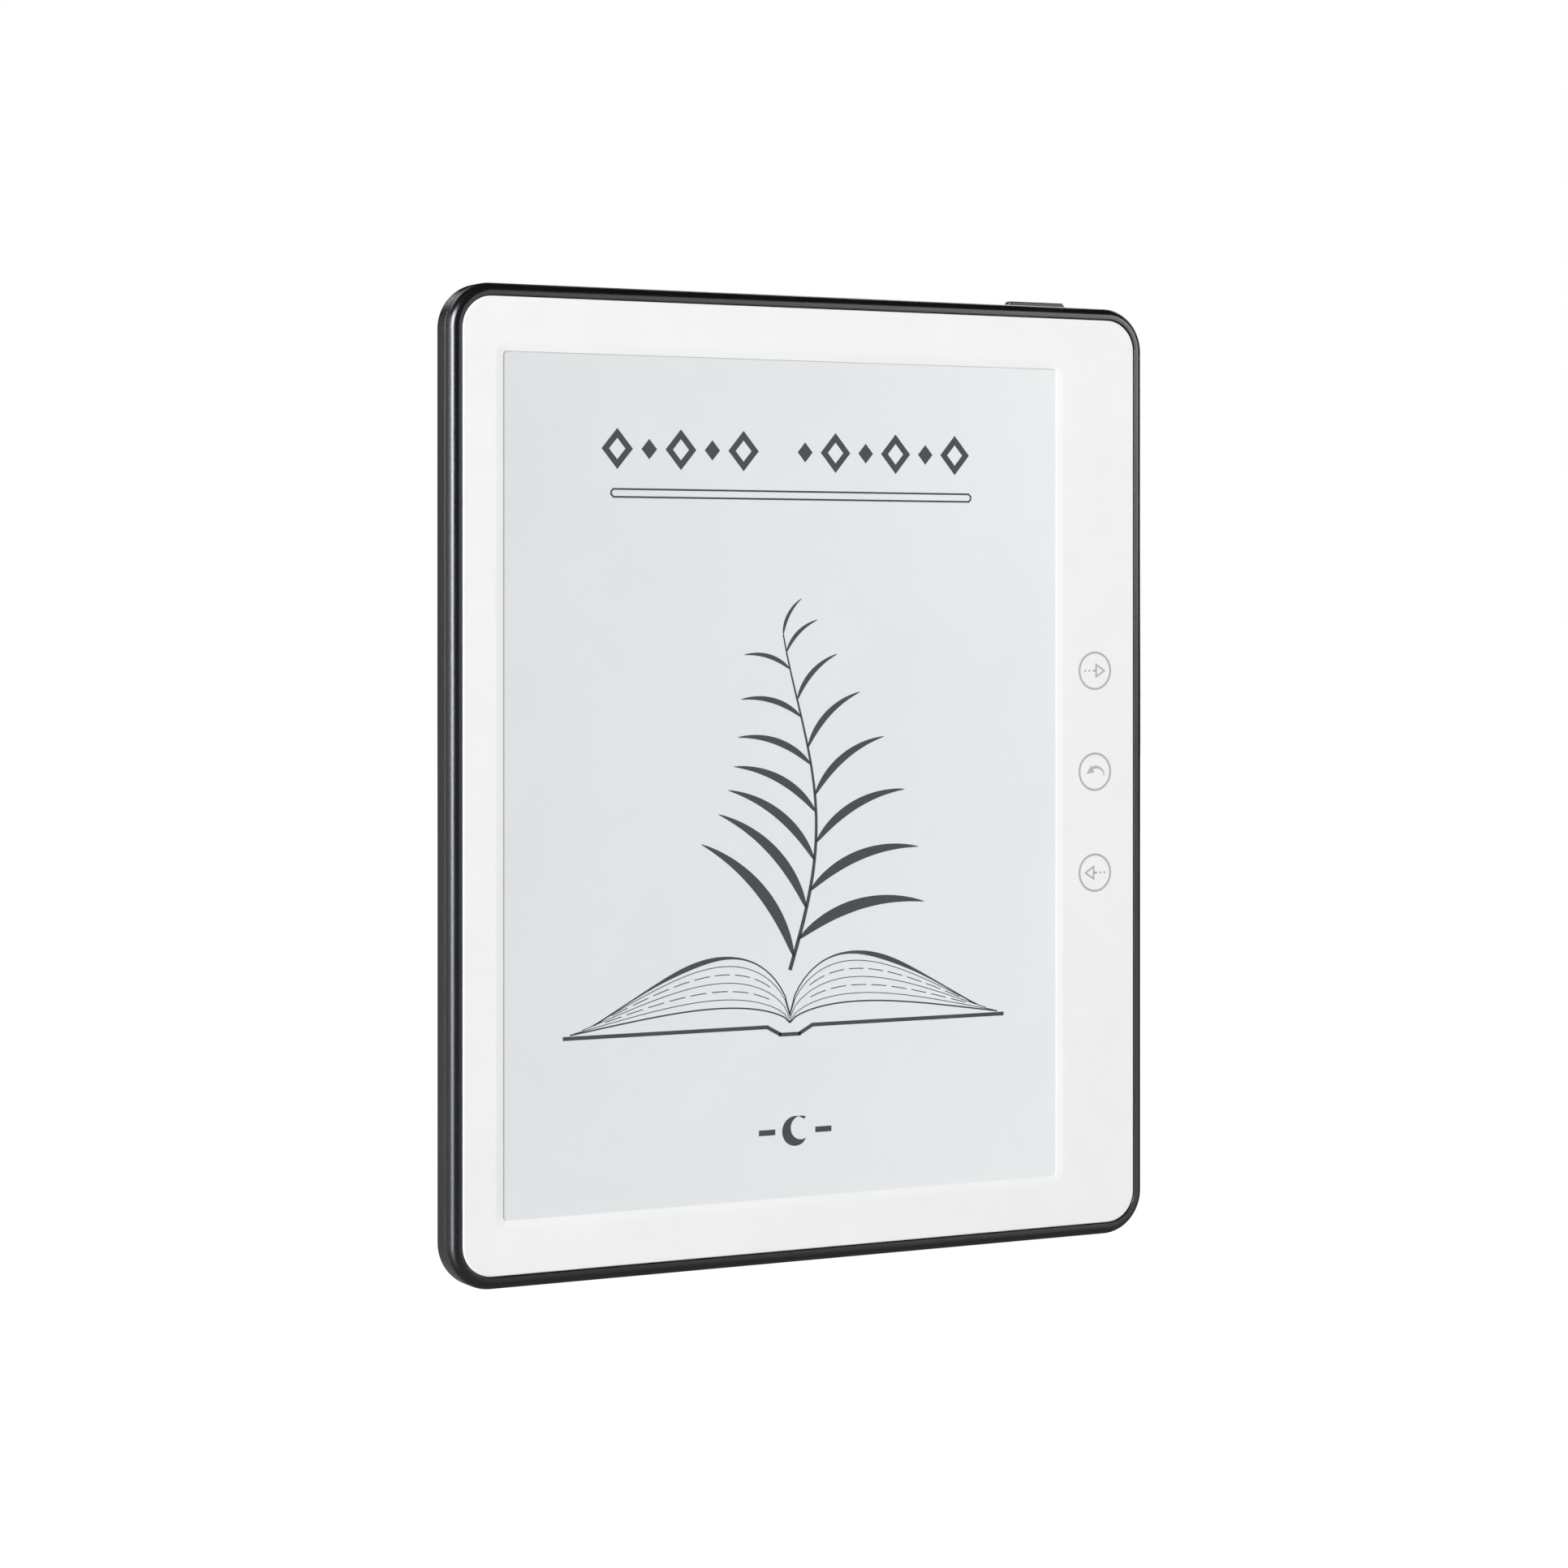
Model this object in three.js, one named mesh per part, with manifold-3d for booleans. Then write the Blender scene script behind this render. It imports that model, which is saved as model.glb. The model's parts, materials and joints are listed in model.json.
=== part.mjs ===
// An e-reader with a white front panel, a dark rounded case and three touch keys, in millimetres.
// It stands upright: +X is to the reader's right, +Z is up and the screen faces -Y.
// The origin is under the middle of the body, on the plane of its bottom edge.
// Depths are measured back from the front face, so depth 0 is the front and BODY_DEPTH the back.
import * as THREE from "three";
import { mergeVertices } from "three/addons/utils/BufferGeometryUtils.js";
import Module from "manifold-3d";

const wasm = await Module();
wasm.setup();

// Driving dimensions.
const SCREEN_WIDTH = 121.6; // active area of an 8-inch 4:3 ink display
const SCREEN_HEIGHT = 162.1;
const MARGIN_LEFT = 8.2; // white panel beside the screen
const MARGIN_RIGHT = 18.5; // the wide margin that carries the touch keys
const MARGIN_END = 10.2; // white panel above and below the screen
const RIM = 2.5; // dark rim round the white panel
const BODY_DEPTH = 8.5;
const PANEL_CORNER = 6.1;
const FRONT_FILLET = 1.8;
const BACK_FILLET = 3;
const WALL = 1.4;
const BACK_WALL = 1.3;
const SEAM = 0.08; // gap between the two halves of the case
const CLEARANCE = 0.3; // gap round a piece that drops into a recess
const PANEL_GAP = 0.2; // gap between the white panel and the rim
const SLIVER = 0.05; // glue line between stacked layers

// Depths of the stacked layers.
const PANEL_THICKNESS = 1;
const LIP = 0.22; // the panel's thin edge over the display
const WINDOW_BEVEL_DEPTH = 0.12;
const WINDOW_BEVEL_WIDTH = 1.5;
const WINDOW_CORNER = 0.8;
const LEDGE_FRONT = 1.2;
const LEDGE_WIDTH = 3.2;
const PARTING = 2.6; // where the front frame meets the rear cover
const FILM = [LIP + SLIVER, 0.85];
const GLASS = [0.9, 1.45];
const FOAM = [1.8, 2.6];
const CHASSIS = [2.7, 3.4];
const STANDOFF_BACK = 3.85;
const BOARD = [3.9, 4.7];
const ON_BOARD = BOARD[1] + SLIVER;
const PORT_DEPTH = (BOARD[0] + BOARD[1]) / 2; // sockets are let into the board's edge

// Outlines worked out from them, as boxes in X and Z.
const BODY_WIDTH = MARGIN_LEFT + SCREEN_WIDTH + MARGIN_RIGHT + 2 * RIM;
const BODY_HEIGHT = SCREEN_HEIGHT + 2 * MARGIN_END + 2 * RIM;
const BODY_CORNER = PANEL_CORNER + RIM;
const BODY = { left: -BODY_WIDTH / 2, right: BODY_WIDTH / 2, bottom: 0, top: BODY_HEIGHT };
const PANEL = grow(BODY, -RIM);
const SCREEN = {
  left: PANEL.left + MARGIN_LEFT,
  right: PANEL.right - MARGIN_RIGHT,
  bottom: PANEL.bottom + MARGIN_END,
  top: PANEL.top - MARGIN_END,
};
const MODULE_BORDER = 3.5;
const MODULE_CHIN = 6.5; // wider border where the display's flex is bonded
const MODULE = { ...grow(SCREEN, MODULE_BORDER), bottom: SCREEN.bottom - MODULE_CHIN };
const LEDGE_OPENING = grow(PANEL, PANEL_GAP - LEDGE_WIDTH);

// Places of the keys, the button and the sockets.
const KEY_X = SCREEN.right + 9.15;
const KEY_SPACING = 20.4;
const KEY_HEIGHTS = [-1, 0, 1].map((step) => BODY_HEIGHT / 2 + step * KEY_SPACING);
const BUTTON_X = 52.9;
const BUTTON_LENGTH = 13.9;
const BUTTON_PROUD = 0.85;
const BUTTON_DEPTHS = [2.9, 5];
const USB_X = 50;
const CARD_X = 28;
const LIGHT_X = 40;
const RESET_X = 62;

// Finishes.
const WHITE_PLASTIC = finish(0xeeefee, 0.45, 0);
const CHARCOAL_PLASTIC = finish(0x26272a, 0.5, 0);
const INK_SHEET = finish(0xdfe2e3, 0.75, 0);
const DARK_GLASS = finish(0x4c5a58, 0.2, 0);
const FOAM_BLACK = finish(0x2a2a2c, 0.95, 0);
const TAPE = finish(0x1f1f21, 0.8, 0);
const ALLOY = finish(0xa9acb0, 0.5, 0.9);
const STEEL = finish(0xb9bbbe, 0.35, 1);
const BOARD_GREEN = finish(0x1f5a3c, 0.5, 0);
const CHIP_BLACK = finish(0x1a1b1d, 0.6, 0);
const CONNECTOR_CREAM = finish(0xd8d0bd, 0.6, 0);
const LATCH_BLACK = finish(0x222326, 0.6, 0);
const FLEX_AMBER = finish(0xb0702a, 0.45, 0);
const CELL_SILVER = finish(0xb4b7ba, 0.4, 0.6);
const WIRE_RED = finish(0xb3261e, 0.5, 0);
const WIRE_BLACK = finish(0x18181a, 0.5, 0);
const CLEAR_PLASTIC = finish(0xdde6ea, 0.15, 0);
const LED_WHITE = finish(0xf2f0dc, 0.4, 0);

const ARC_STEPS = 10; // facets round each large corner
const SMALL_ARC_STEPS = 4;
const FILLET_STEPS = 6;
const FLEX_FACETS = 5; // half the facets of a quarter of a fold
const OVERRUN = 1; // how far a cutting tool runs past the face that it opens

const reader = new THREE.Group();

function finish(color, roughness, metalness) {
  return new THREE.MeshStandardMaterial({ color, roughness, metalness });
}

function add(name, geometry, material) {
  const mesh = new THREE.Mesh(geometry, material);
  mesh.name = name;
  reader.add(mesh);
}

// Y of a depth behind the front face.
function atDepth(depth) {
  return depth - BODY_DEPTH / 2;
}

function grow(box, by) {
  return { left: box.left - by, right: box.right + by, bottom: box.bottom - by, top: box.top + by };
}

function around(x, z, width, height) {
  return { left: x - width / 2, right: x + width / 2, bottom: z - height / 2, top: z + height / 2 };
}

// A box centred on x that runs from one height to another.
function upright(x, width, bottom, top) {
  return { left: x - width / 2, right: x + width / 2, bottom, top };
}

// Points of a rounded rectangle in X and Z, anticlockwise as the reader sees it.
function outline(box, corner, arcSteps = ARC_STEPS) {
  const centres = [
    [box.right - corner, box.bottom + corner],
    [box.right - corner, box.top - corner],
    [box.left + corner, box.top - corner],
    [box.left + corner, box.bottom + corner],
  ];
  return centres.flatMap(([x, z], quarter) =>
    Array.from({ length: arcSteps + 1 }, (_, step) => {
      const turn = (quarter - 1 + step / arcSteps) * (Math.PI / 2);
      return new THREE.Vector2(x + corner * Math.cos(turn), z + corner * Math.sin(turn));
    }),
  );
}

// A flat plate with rounded corners between two depths.
function plate(box, corner, front, back, arcSteps = ARC_STEPS) {
  const shape = new THREE.Shape(outline(box, corner, arcSteps));
  const geometry = new THREE.ExtrudeGeometry(shape, { depth: back - front, bevelEnabled: false });
  return geometry.rotateX(Math.PI / 2).translate(0, atDepth(back), 0);
}

// A square-cornered block between two depths.
function block(box, front, back) {
  const geometry = new THREE.BoxGeometry(box.right - box.left, back - front, box.top - box.bottom);
  const x = (box.left + box.right) / 2;
  const z = (box.bottom + box.top) / 2;
  return geometry.translate(x, atDepth((front + back) / 2), z);
}

// A solid whose outline changes with depth. Each level is a rounded rectangle at one depth.
function loft(levels) {
  const loops = levels.map(({ box, corner, depth }) =>
    outline(box, corner).map((point) => new THREE.Vector3(point.x, atDepth(depth), point.y)),
  );
  const count = loops[0].length;
  const index = [];
  for (let level = 0; level + 1 < loops.length; level++) {
    for (let i = 0; i < count; i++) {
      const front = level * count + i;
      const frontNext = level * count + ((i + 1) % count);
      index.push(front, front + count, frontNext);
      index.push(frontNext, front + count, frontNext + count);
    }
  }
  const last = (loops.length - 1) * count;
  for (let i = 1; i + 1 < count; i++) {
    index.push(0, i, i + 1);
    index.push(last, last + i + 1, last + i);
  }
  const geometry = new THREE.BufferGeometry().setFromPoints(loops.flat());
  geometry.setIndex(index);
  return geometry;
}

// Levels of a quarter-round edge that starts square to the front or back face.
function frontFillet(box, corner, radius, depth) {
  const levels = [];
  for (let step = 0; step <= FILLET_STEPS; step++) {
    const turn = (step / FILLET_STEPS) * (Math.PI / 2);
    const inset = radius * (1 - Math.sin(turn));
    levels.push({
      box: grow(box, -inset),
      corner: corner - inset,
      depth: depth + radius * (1 - Math.cos(turn)),
    });
  }
  return levels;
}

function backFillet(box, corner, radius, depth) {
  return frontFillet(box, corner, radius, -depth)
    .map((level) => ({ ...level, depth: -level.depth }))
    .reverse();
}

function solidOf(geometry) {
  const bare = geometry.clone();
  bare.deleteAttribute("normal");
  bare.deleteAttribute("uv");
  const merged = mergeVertices(bare, 1e-4);
  const vertProperties = merged.attributes.position.array;
  const triVerts = new Uint32Array(merged.index.array);
  return new wasm.Manifold(new wasm.Mesh({ numProp: 3, vertProperties, triVerts }));
}

function geometryOf(solid) {
  const { vertProperties, triVerts } = solid.getMesh();
  const geometry = new THREE.BufferGeometry();
  geometry.setAttribute("position", new THREE.BufferAttribute(vertProperties, 3));
  geometry.setIndex(new THREE.BufferAttribute(triVerts, 1));
  geometry.computeVertexNormals();
  return geometry;
}

function cut(geometry, tools) {
  return geometryOf(tools.reduce((solid, tool) => solid.subtract(solidOf(tool)), solidOf(geometry)));
}

function join(geometry, pieces) {
  return geometryOf(pieces.reduce((solid, piece) => solid.add(solidOf(piece)), solidOf(geometry)));
}

// A rod along Y, the direction that the screws run in.
function rod(x, z, radius, front, back, sides = 14) {
  const geometry = new THREE.CylinderGeometry(radius, radius, back - front, sides);
  return geometry.translate(x, atDepth((front + back) / 2), z);
}

// A rod along Z, the direction of the holes in the bottom edge.
function uprightRod(x, depth, radius, bottom, top, sides = 14) {
  const geometry = new THREE.CylinderGeometry(radius, radius, top - bottom, sides);
  return geometry.rotateX(Math.PI / 2).translate(x, atDepth(depth), (bottom + top) / 2);
}

// A shape drawn in depth and height, extruded along X.
function acrossX(shape, left, right) {
  const geometry = new THREE.ExtrudeGeometry(shape, {
    depth: right - left,
    bevelEnabled: false,
    curveSegments: FLEX_FACETS,
  });
  const turn = new THREE.Matrix4().makeBasis(
    new THREE.Vector3(0, 1, 0),
    new THREE.Vector3(0, 0, 1),
    new THREE.Vector3(1, 0, 0),
  );
  return geometry.applyMatrix4(turn).translate(left, 0, 0);
}

// ---- Case ----

// Clips that hold the halves together: along the sides at these heights, and along the ends at these X.
const CLIP_LENGTH = 6;
const CLIP_INSET = [1.2, 2.05]; // inner and outer faces of a clip, in from the body's outline
const CLIP_TIP = 1.5;
const CLIP_ROOT = 3.9;
const CLIP_GAP = 0.25; // round a clip in its pocket
const SIDE_CLIP_HEIGHTS = [0.22, 0.5, 0.78].map((share) => share * BODY_HEIGHT);
const TOP_CLIP_X = [-50, -8, 34];
const BOTTOM_CLIP_X = [-50, -8];

// The clips as blocks, grown by a gap where they are the pockets that take them.
function clips(gap, front, back) {
  const [outer, inner] = CLIP_INSET;
  const length = CLIP_LENGTH + 2 * gap;
  const width = inner - outer + 2 * gap;
  const inset = (inner + outer) / 2;
  const blocks = [];
  for (const height of SIDE_CLIP_HEIGHTS) {
    blocks.push(block(around(BODY.left + inset, height, width, length), front, back));
    blocks.push(block(around(BODY.right - inset, height, width, length), front, back));
  }
  for (const x of TOP_CLIP_X) {
    blocks.push(block(around(x, BODY.top - inset, length, width), front, back));
  }
  for (const x of BOTTOM_CLIP_X) {
    blocks.push(block(around(x, BODY.bottom + inset, length, width), front, back));
  }
  return blocks;
}

// Screws that hold the chassis to the frame's ledge.
const LEDGE_SCREW_X = LEDGE_OPENING.right + LEDGE_WIDTH / 2;
const LEDGE_SCREW_HEIGHTS = [0.085, 0.36, 0.64, 0.915].map((share) => share * BODY_HEIGHT);
const LEDGE_SCREWS = LEDGE_SCREW_HEIGHTS.flatMap((z) => [
  { x: -LEDGE_SCREW_X, z },
  { x: LEDGE_SCREW_X, z },
]);
const LEDGE_HOLE_RADIUS = 0.75;

const PANEL_EDGE = 0.3; // rounding of the panel's front edge

function frontBezel() {
  const blank = loft([
    ...frontFillet(PANEL, PANEL_CORNER, PANEL_EDGE, 0),
    { box: PANEL, corner: PANEL_CORNER, depth: PANEL_THICKNESS },
  ]);
  const bevel = WINDOW_BEVEL_WIDTH / WINDOW_BEVEL_DEPTH;
  const mouth = WINDOW_BEVEL_WIDTH + bevel * OVERRUN;
  const window = loft([
    { box: grow(SCREEN, mouth), corner: WINDOW_CORNER + mouth, depth: -OVERRUN },
    { box: SCREEN, corner: WINDOW_CORNER, depth: WINDOW_BEVEL_DEPTH },
    { box: SCREEN, corner: WINDOW_CORNER, depth: PANEL_THICKNESS + OVERRUN },
  ]);
  const pocket = block(grow(MODULE, CLEARANCE), LIP, PANEL_THICKNESS + OVERRUN);
  return cut(blank, [window, pocket]);
}

function frontFrame() {
  const blank = loft([
    ...frontFillet(BODY, BODY_CORNER, FRONT_FILLET, 0),
    { box: BODY, corner: BODY_CORNER, depth: PARTING },
  ]);
  const seat = plate(grow(PANEL, PANEL_GAP), PANEL_CORNER + PANEL_GAP, -OVERRUN, LEDGE_FRONT);
  const opening = plate(LEDGE_OPENING, PANEL_CORNER + PANEL_GAP - LEDGE_WIDTH, 0, PARTING + OVERRUN);
  const pockets = clips(CLIP_GAP, CLIP_TIP - 0.15, PARTING + OVERRUN);
  const holes = LEDGE_SCREWS.map(({ x, z }) =>
    rod(x, z, LEDGE_HOLE_RADIUS, LEDGE_FRONT - OVERRUN, PARTING + OVERRUN),
  );
  return cut(blank, [seat, opening, ...pockets, ...holes]);
}

// The power button's slot is open towards the front frame, which closes it.
const SLOT_GAP = 0.2;

// Openings in the bottom edge.
const USB_OPENING = { width: 8.3, depth: 3.2, corner: 0.1 };
const CARD_OPENING = { width: 12.2, depth: 1.5 };
const RESET_HOLE_RADIUS = 0.5;
const LIGHT_HOLE_RADIUS = 0.8;
const LIGHT_PIPE_DEPTH = 5.05;

function bottomOpening(x, { width, depth, corner = 0 }) {
  const box = around(x, 0, width, 2 * WALL + 1);
  const front = PORT_DEPTH - depth / 2;
  const back = PORT_DEPTH + depth / 2;
  return corner ? plate(box, corner, front, back) : block(box, front, back);
}

function rearCover() {
  const front = PARTING + SEAM;
  const shell = loft([
    { box: BODY, corner: BODY_CORNER, depth: front },
    ...backFillet(BODY, BODY_CORNER, BACK_FILLET, BODY_DEPTH),
  ]);
  const inside = grow(BODY, -WALL);
  const insideCorner = BODY_CORNER - WALL;
  const hollow = loft([
    { box: inside, corner: insideCorner, depth: front - OVERRUN },
    ...backFillet(inside, insideCorner, BACK_FILLET - WALL, BODY_DEPTH - BACK_WALL),
  ]);
  const slot = block(
    upright(BUTTON_X, BUTTON_LENGTH + 2 * SLOT_GAP, inside.top - OVERRUN, BODY.top + OVERRUN),
    front - OVERRUN,
    BUTTON_DEPTHS[1] + SLOT_GAP,
  );
  const usbHole = bottomOpening(USB_X, USB_OPENING);
  const cardHole = bottomOpening(CARD_X, CARD_OPENING);
  const resetHole = uprightRod(RESET_X, PORT_DEPTH, RESET_HOLE_RADIUS, -OVERRUN, WALL + OVERRUN);
  const lightHole = uprightRod(LIGHT_X, LIGHT_PIPE_DEPTH, LIGHT_HOLE_RADIUS, -OVERRUN, WALL + OVERRUN);
  const walls = cut(shell, [hollow, slot, usbHole, cardHole, resetHole, lightHole]);
  return join(walls, clips(0, CLIP_TIP, CLIP_ROOT));
}

// ---- Power button and the two side-push switches ----

const FLANGE_TOP = BODY.top - WALL - 0.25;
const FLANGE_BOTTOM = FLANGE_TOP - 0.9;
const FOOT_BOTTOM = FLANGE_BOTTOM - 0.8;
const FOOT_WIDTH = 2.4;
const FOOT_THICKNESS = 1.2;
const FLANGE_OVERHANG = 1.3; // past each end of the cap, so that the button can't fall out
const BUTTON_SLOPE = 0.6; // the cap's ends lean in by this much
const JOINING = 0.2; // depth to which joined solids run into each other
const SWITCH_GAP = 0.05; // between a plunger and what presses it

function powerButton() {
  const half = BUTTON_LENGTH / 2;
  const face = new THREE.Shape();
  face.moveTo(-half, FLANGE_TOP - JOINING);
  face.lineTo(half, FLANGE_TOP - JOINING);
  face.lineTo(half, BODY.top);
  face.lineTo(half - BUTTON_SLOPE, BODY.top + BUTTON_PROUD);
  face.lineTo(BUTTON_SLOPE - half, BODY.top + BUTTON_PROUD);
  face.lineTo(-half, BODY.top);
  const cap = new THREE.ExtrudeGeometry(face, {
    depth: BUTTON_DEPTHS[1] - BUTTON_DEPTHS[0],
    bevelEnabled: false,
  });
  cap.rotateX(Math.PI / 2).translate(BUTTON_X, atDepth(BUTTON_DEPTHS[1]), 0);
  const flangeBox = upright(BUTTON_X, BUTTON_LENGTH + 2 * FLANGE_OVERHANG, FLANGE_BOTTOM, FLANGE_TOP);
  const flange = block(flangeBox, BUTTON_DEPTHS[0] - 0.1, BUTTON_DEPTHS[1] + 0.5);
  const footBox = upright(BUTTON_X, FOOT_WIDTH, FOOT_BOTTOM, FLANGE_BOTTOM + JOINING);
  const foot = block(footBox, PORT_DEPTH - FOOT_THICKNESS / 2, PORT_DEPTH + FOOT_THICKNESS / 2);
  return join(cap, [flange, foot]);
}

// A side-push switch let into a notch in the board's edge, pushed along Z towards its body.
const SWITCH_WIDTH = 5.5;
const SWITCH_HEIGHT = 2.6;
const SWITCH_THICKNESS = 1.7;
const PLUNGER_WIDTH = 2.2;
const PLUNGER_THICKNESS = 0.9;
const PLUNGER_LENGTH = 2.45;
const PLUNGER_PROUD = 1.45;
const PLUNGER_TRAVEL = 0.3; // the power button moves down with its plunger
const PLUNGER_GAP = 0.15; // round a plunger in its well
const PLUNGER_CORNER = 0.3;

// mouth is the Z of the face that the plunger comes out of, and out is 1 where it points up, -1 down.
function addSwitch(name, x, mouth, out) {
  const front = PORT_DEPTH - SWITCH_THICKNESS / 2;
  const back = PORT_DEPTH + SWITCH_THICKNESS / 2;
  const middle = mouth - (out * SWITCH_HEIGHT) / 2;
  const body = block(around(x, middle, SWITCH_WIDTH, SWITCH_HEIGHT), front, back);
  const wellDepth = PLUNGER_LENGTH - PLUNGER_PROUD + PLUNGER_TRAVEL + 0.1;
  const wellMiddle = mouth + (out * (OVERRUN - wellDepth)) / 2;
  const well = block(
    around(x, wellMiddle, PLUNGER_WIDTH + 2 * PLUNGER_GAP, wellDepth + OVERRUN),
    PORT_DEPTH - PLUNGER_THICKNESS / 2 - PLUNGER_GAP,
    PORT_DEPTH + PLUNGER_THICKNESS / 2 + PLUNGER_GAP,
  );
  const plungerMiddle = mouth + out * (PLUNGER_PROUD - PLUNGER_LENGTH / 2);
  const plunger = plate(
    around(x, plungerMiddle, PLUNGER_WIDTH, PLUNGER_LENGTH),
    PLUNGER_CORNER,
    PORT_DEPTH - PLUNGER_THICKNESS / 2,
    PORT_DEPTH + PLUNGER_THICKNESS / 2,
    SMALL_ARC_STEPS,
  );
  add(`${name}_switch`, cut(body, [well]), STEEL);
  add(`${name}_plunger`, plunger, LATCH_BLACK);
}

const POWER_SWITCH_MOUTH = FOOT_BOTTOM - SWITCH_GAP - PLUNGER_PROUD;
const RESET_SWITCH_MOUTH = 4.65;

// ---- Display ----

const FLEX_THICKNESS = 0.16;
const FLEX_BACK = 5.05; // depth of a flex's tail where it lies behind the board
const DISPLAY_FLEX = { left: -6, right: 20, leg: 1.62, fold: 46, start: 8, end: 40.2 };
const KEY_FLEX = { left: KEY_X - 4, right: KEY_X + 4, leg: 1.13, fold: 122, start: 66, end: 116.4 };
const FLEX_SLOT_GAP = 0.6;
const KEY_PAD_RADIUS = 4.2; // round sensing pads behind the printed keys

// A flex that runs up behind the front, folds over through the chassis and drops to its connector.
function foldedFlex({ left, right, leg, fold, start, end }) {
  const half = FLEX_THICKNESS / 2;
  const radius = (FLEX_BACK - leg) / 2;
  const middle = atDepth((FLEX_BACK + leg) / 2);
  const profile = new THREE.Shape();
  profile.moveTo(atDepth(leg) - half, start);
  profile.lineTo(atDepth(leg) - half, fold);
  profile.absarc(middle, fold, radius + half, Math.PI, 0, true);
  profile.lineTo(atDepth(FLEX_BACK) + half, end);
  profile.lineTo(atDepth(FLEX_BACK) - half, end);
  profile.lineTo(atDepth(FLEX_BACK) - half, fold);
  profile.absarc(middle, fold, radius - half, 0, Math.PI, false);
  profile.lineTo(atDepth(leg) + half, start);
  return acrossX(profile, left, right);
}

// The slot that a folded flex passes through, as a cutting block.
function flexSlot({ left, right, leg, fold }, front, back) {
  const bottom = fold - 1;
  const top = fold + (FLEX_BACK - leg) / 2 + 1;
  return block({ left: left - FLEX_SLOT_GAP, right: right + FLEX_SLOT_GAP, bottom, top }, front, back);
}

const TAPE_INSET = 0.4; // in from the edge of the panel
const GLUE_LINE = 0.03; // between a tape and what it sticks to

function bezelTape() {
  const front = PANEL_THICKNESS + GLUE_LINE;
  const ring = plate(grow(PANEL, -TAPE_INSET), PANEL_CORNER - TAPE_INSET, front, LEDGE_FRONT - GLUE_LINE);
  const opening = plate(LEDGE_OPENING, PANEL_CORNER + PANEL_GAP - LEDGE_WIDTH, 0, PARTING);
  return cut(ring, [opening]);
}

function displayFoam() {
  const sheet = plate(grow(MODULE, -2), 2, FOAM[0], FOAM[1], SMALL_ARC_STEPS);
  return cut(sheet, [flexSlot(DISPLAY_FLEX, FOAM[0] - OVERRUN, FOAM[1] + OVERRUN)]);
}

function keyFlex() {
  const front = KEY_FLEX.leg - FLEX_THICKNESS / 2;
  const back = KEY_FLEX.leg + FLEX_THICKNESS / 2;
  const pads = KEY_HEIGHTS.map((height) => rod(KEY_X, height, KEY_PAD_RADIUS, front, back, 28));
  return join(foldedFlex(KEY_FLEX), pads);
}

function addDisplay() {
  add("screen_film", plate(grow(SCREEN, 1.5), 0.5, FILM[0], FILM[1], SMALL_ARC_STEPS), INK_SHEET);
  add("display_glass", plate(MODULE, 0.6, GLASS[0], GLASS[1], SMALL_ARC_STEPS), DARK_GLASS);
  add("display_foam", displayFoam(), FOAM_BLACK);
  add("display_flex", foldedFlex(DISPLAY_FLEX), FLEX_AMBER);
  add("key_flex", keyFlex(), FLEX_AMBER);
}

// ---- Chassis and main board ----

const CHASSIS_INSET = 2.45; // in from the body's outline, clear of the clips
const CHASSIS_BOX = grow(BODY, -CHASSIS_INSET);
const STANDOFF_RADIUS = 1.7;
const BOARD_LEFT = -18; // left end of the wide foot of the L-shaped board
const BOARD_COLUMN_LEFT = 30;
const BOARD_RIGHT = 71;
const BOARD_BOTTOM = 3;
const BOARD_FOOT_TOP = 44;
const BOARD_TOP = 182;
const BOARD_SCREWS = [
  { x: -14.5, z: 9 },
  { x: -14.5, z: 38 },
  { x: 67.5, z: 58 },
  { x: 33.5, z: 176 },
];
const BOARD_HOLE_RADIUS = 0.9;
const BOARD_CORNER = 1;

// Notches in an edge of the board or chassis, given as the space that a socket or switch needs.
const USB_NOTCH = upright(USB_X, 8.3, -OVERRUN, 6.5);
const CARD_NOTCH = upright(CARD_X, 14.6, -OVERRUN, 15.4);
const RESET_NOTCH = upright(RESET_X, SWITCH_WIDTH + 2 * CLEARANCE, -OVERRUN, 7.6);
const POWER_NOTCH = upright(BUTTON_X, SWITCH_WIDTH + 2 * CLEARANCE, 179.4, BODY.top);
const BUTTON_NOTCH = upright(BUTTON_X, BUTTON_LENGTH + 4, 179, BODY.top);

function chassisPlate() {
  const sheet = plate(CHASSIS_BOX, BODY_CORNER - CHASSIS_INSET, ...CHASSIS);
  const standoffs = BOARD_SCREWS.map(({ x, z }) => rod(x, z, STANDOFF_RADIUS, CHASSIS[0], STANDOFF_BACK));
  const front = CHASSIS[0] - OVERRUN;
  const back = STANDOFF_BACK + OVERRUN;
  const notches = [USB_NOTCH, RESET_NOTCH, BUTTON_NOTCH].map((box) => block(box, front, back));
  const slots = [DISPLAY_FLEX, KEY_FLEX].map((flex) => flexSlot(flex, front, back));
  const screwHoles = LEDGE_SCREWS.map(({ x, z }) => rod(x, z, LEDGE_HOLE_RADIUS, front, back));
  const boardHoles = BOARD_SCREWS.map(({ x, z }) => rod(x, z, BOARD_HOLE_RADIUS, front, back));
  return cut(join(sheet, standoffs), [...notches, ...slots, ...screwHoles, ...boardHoles]);
}

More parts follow.
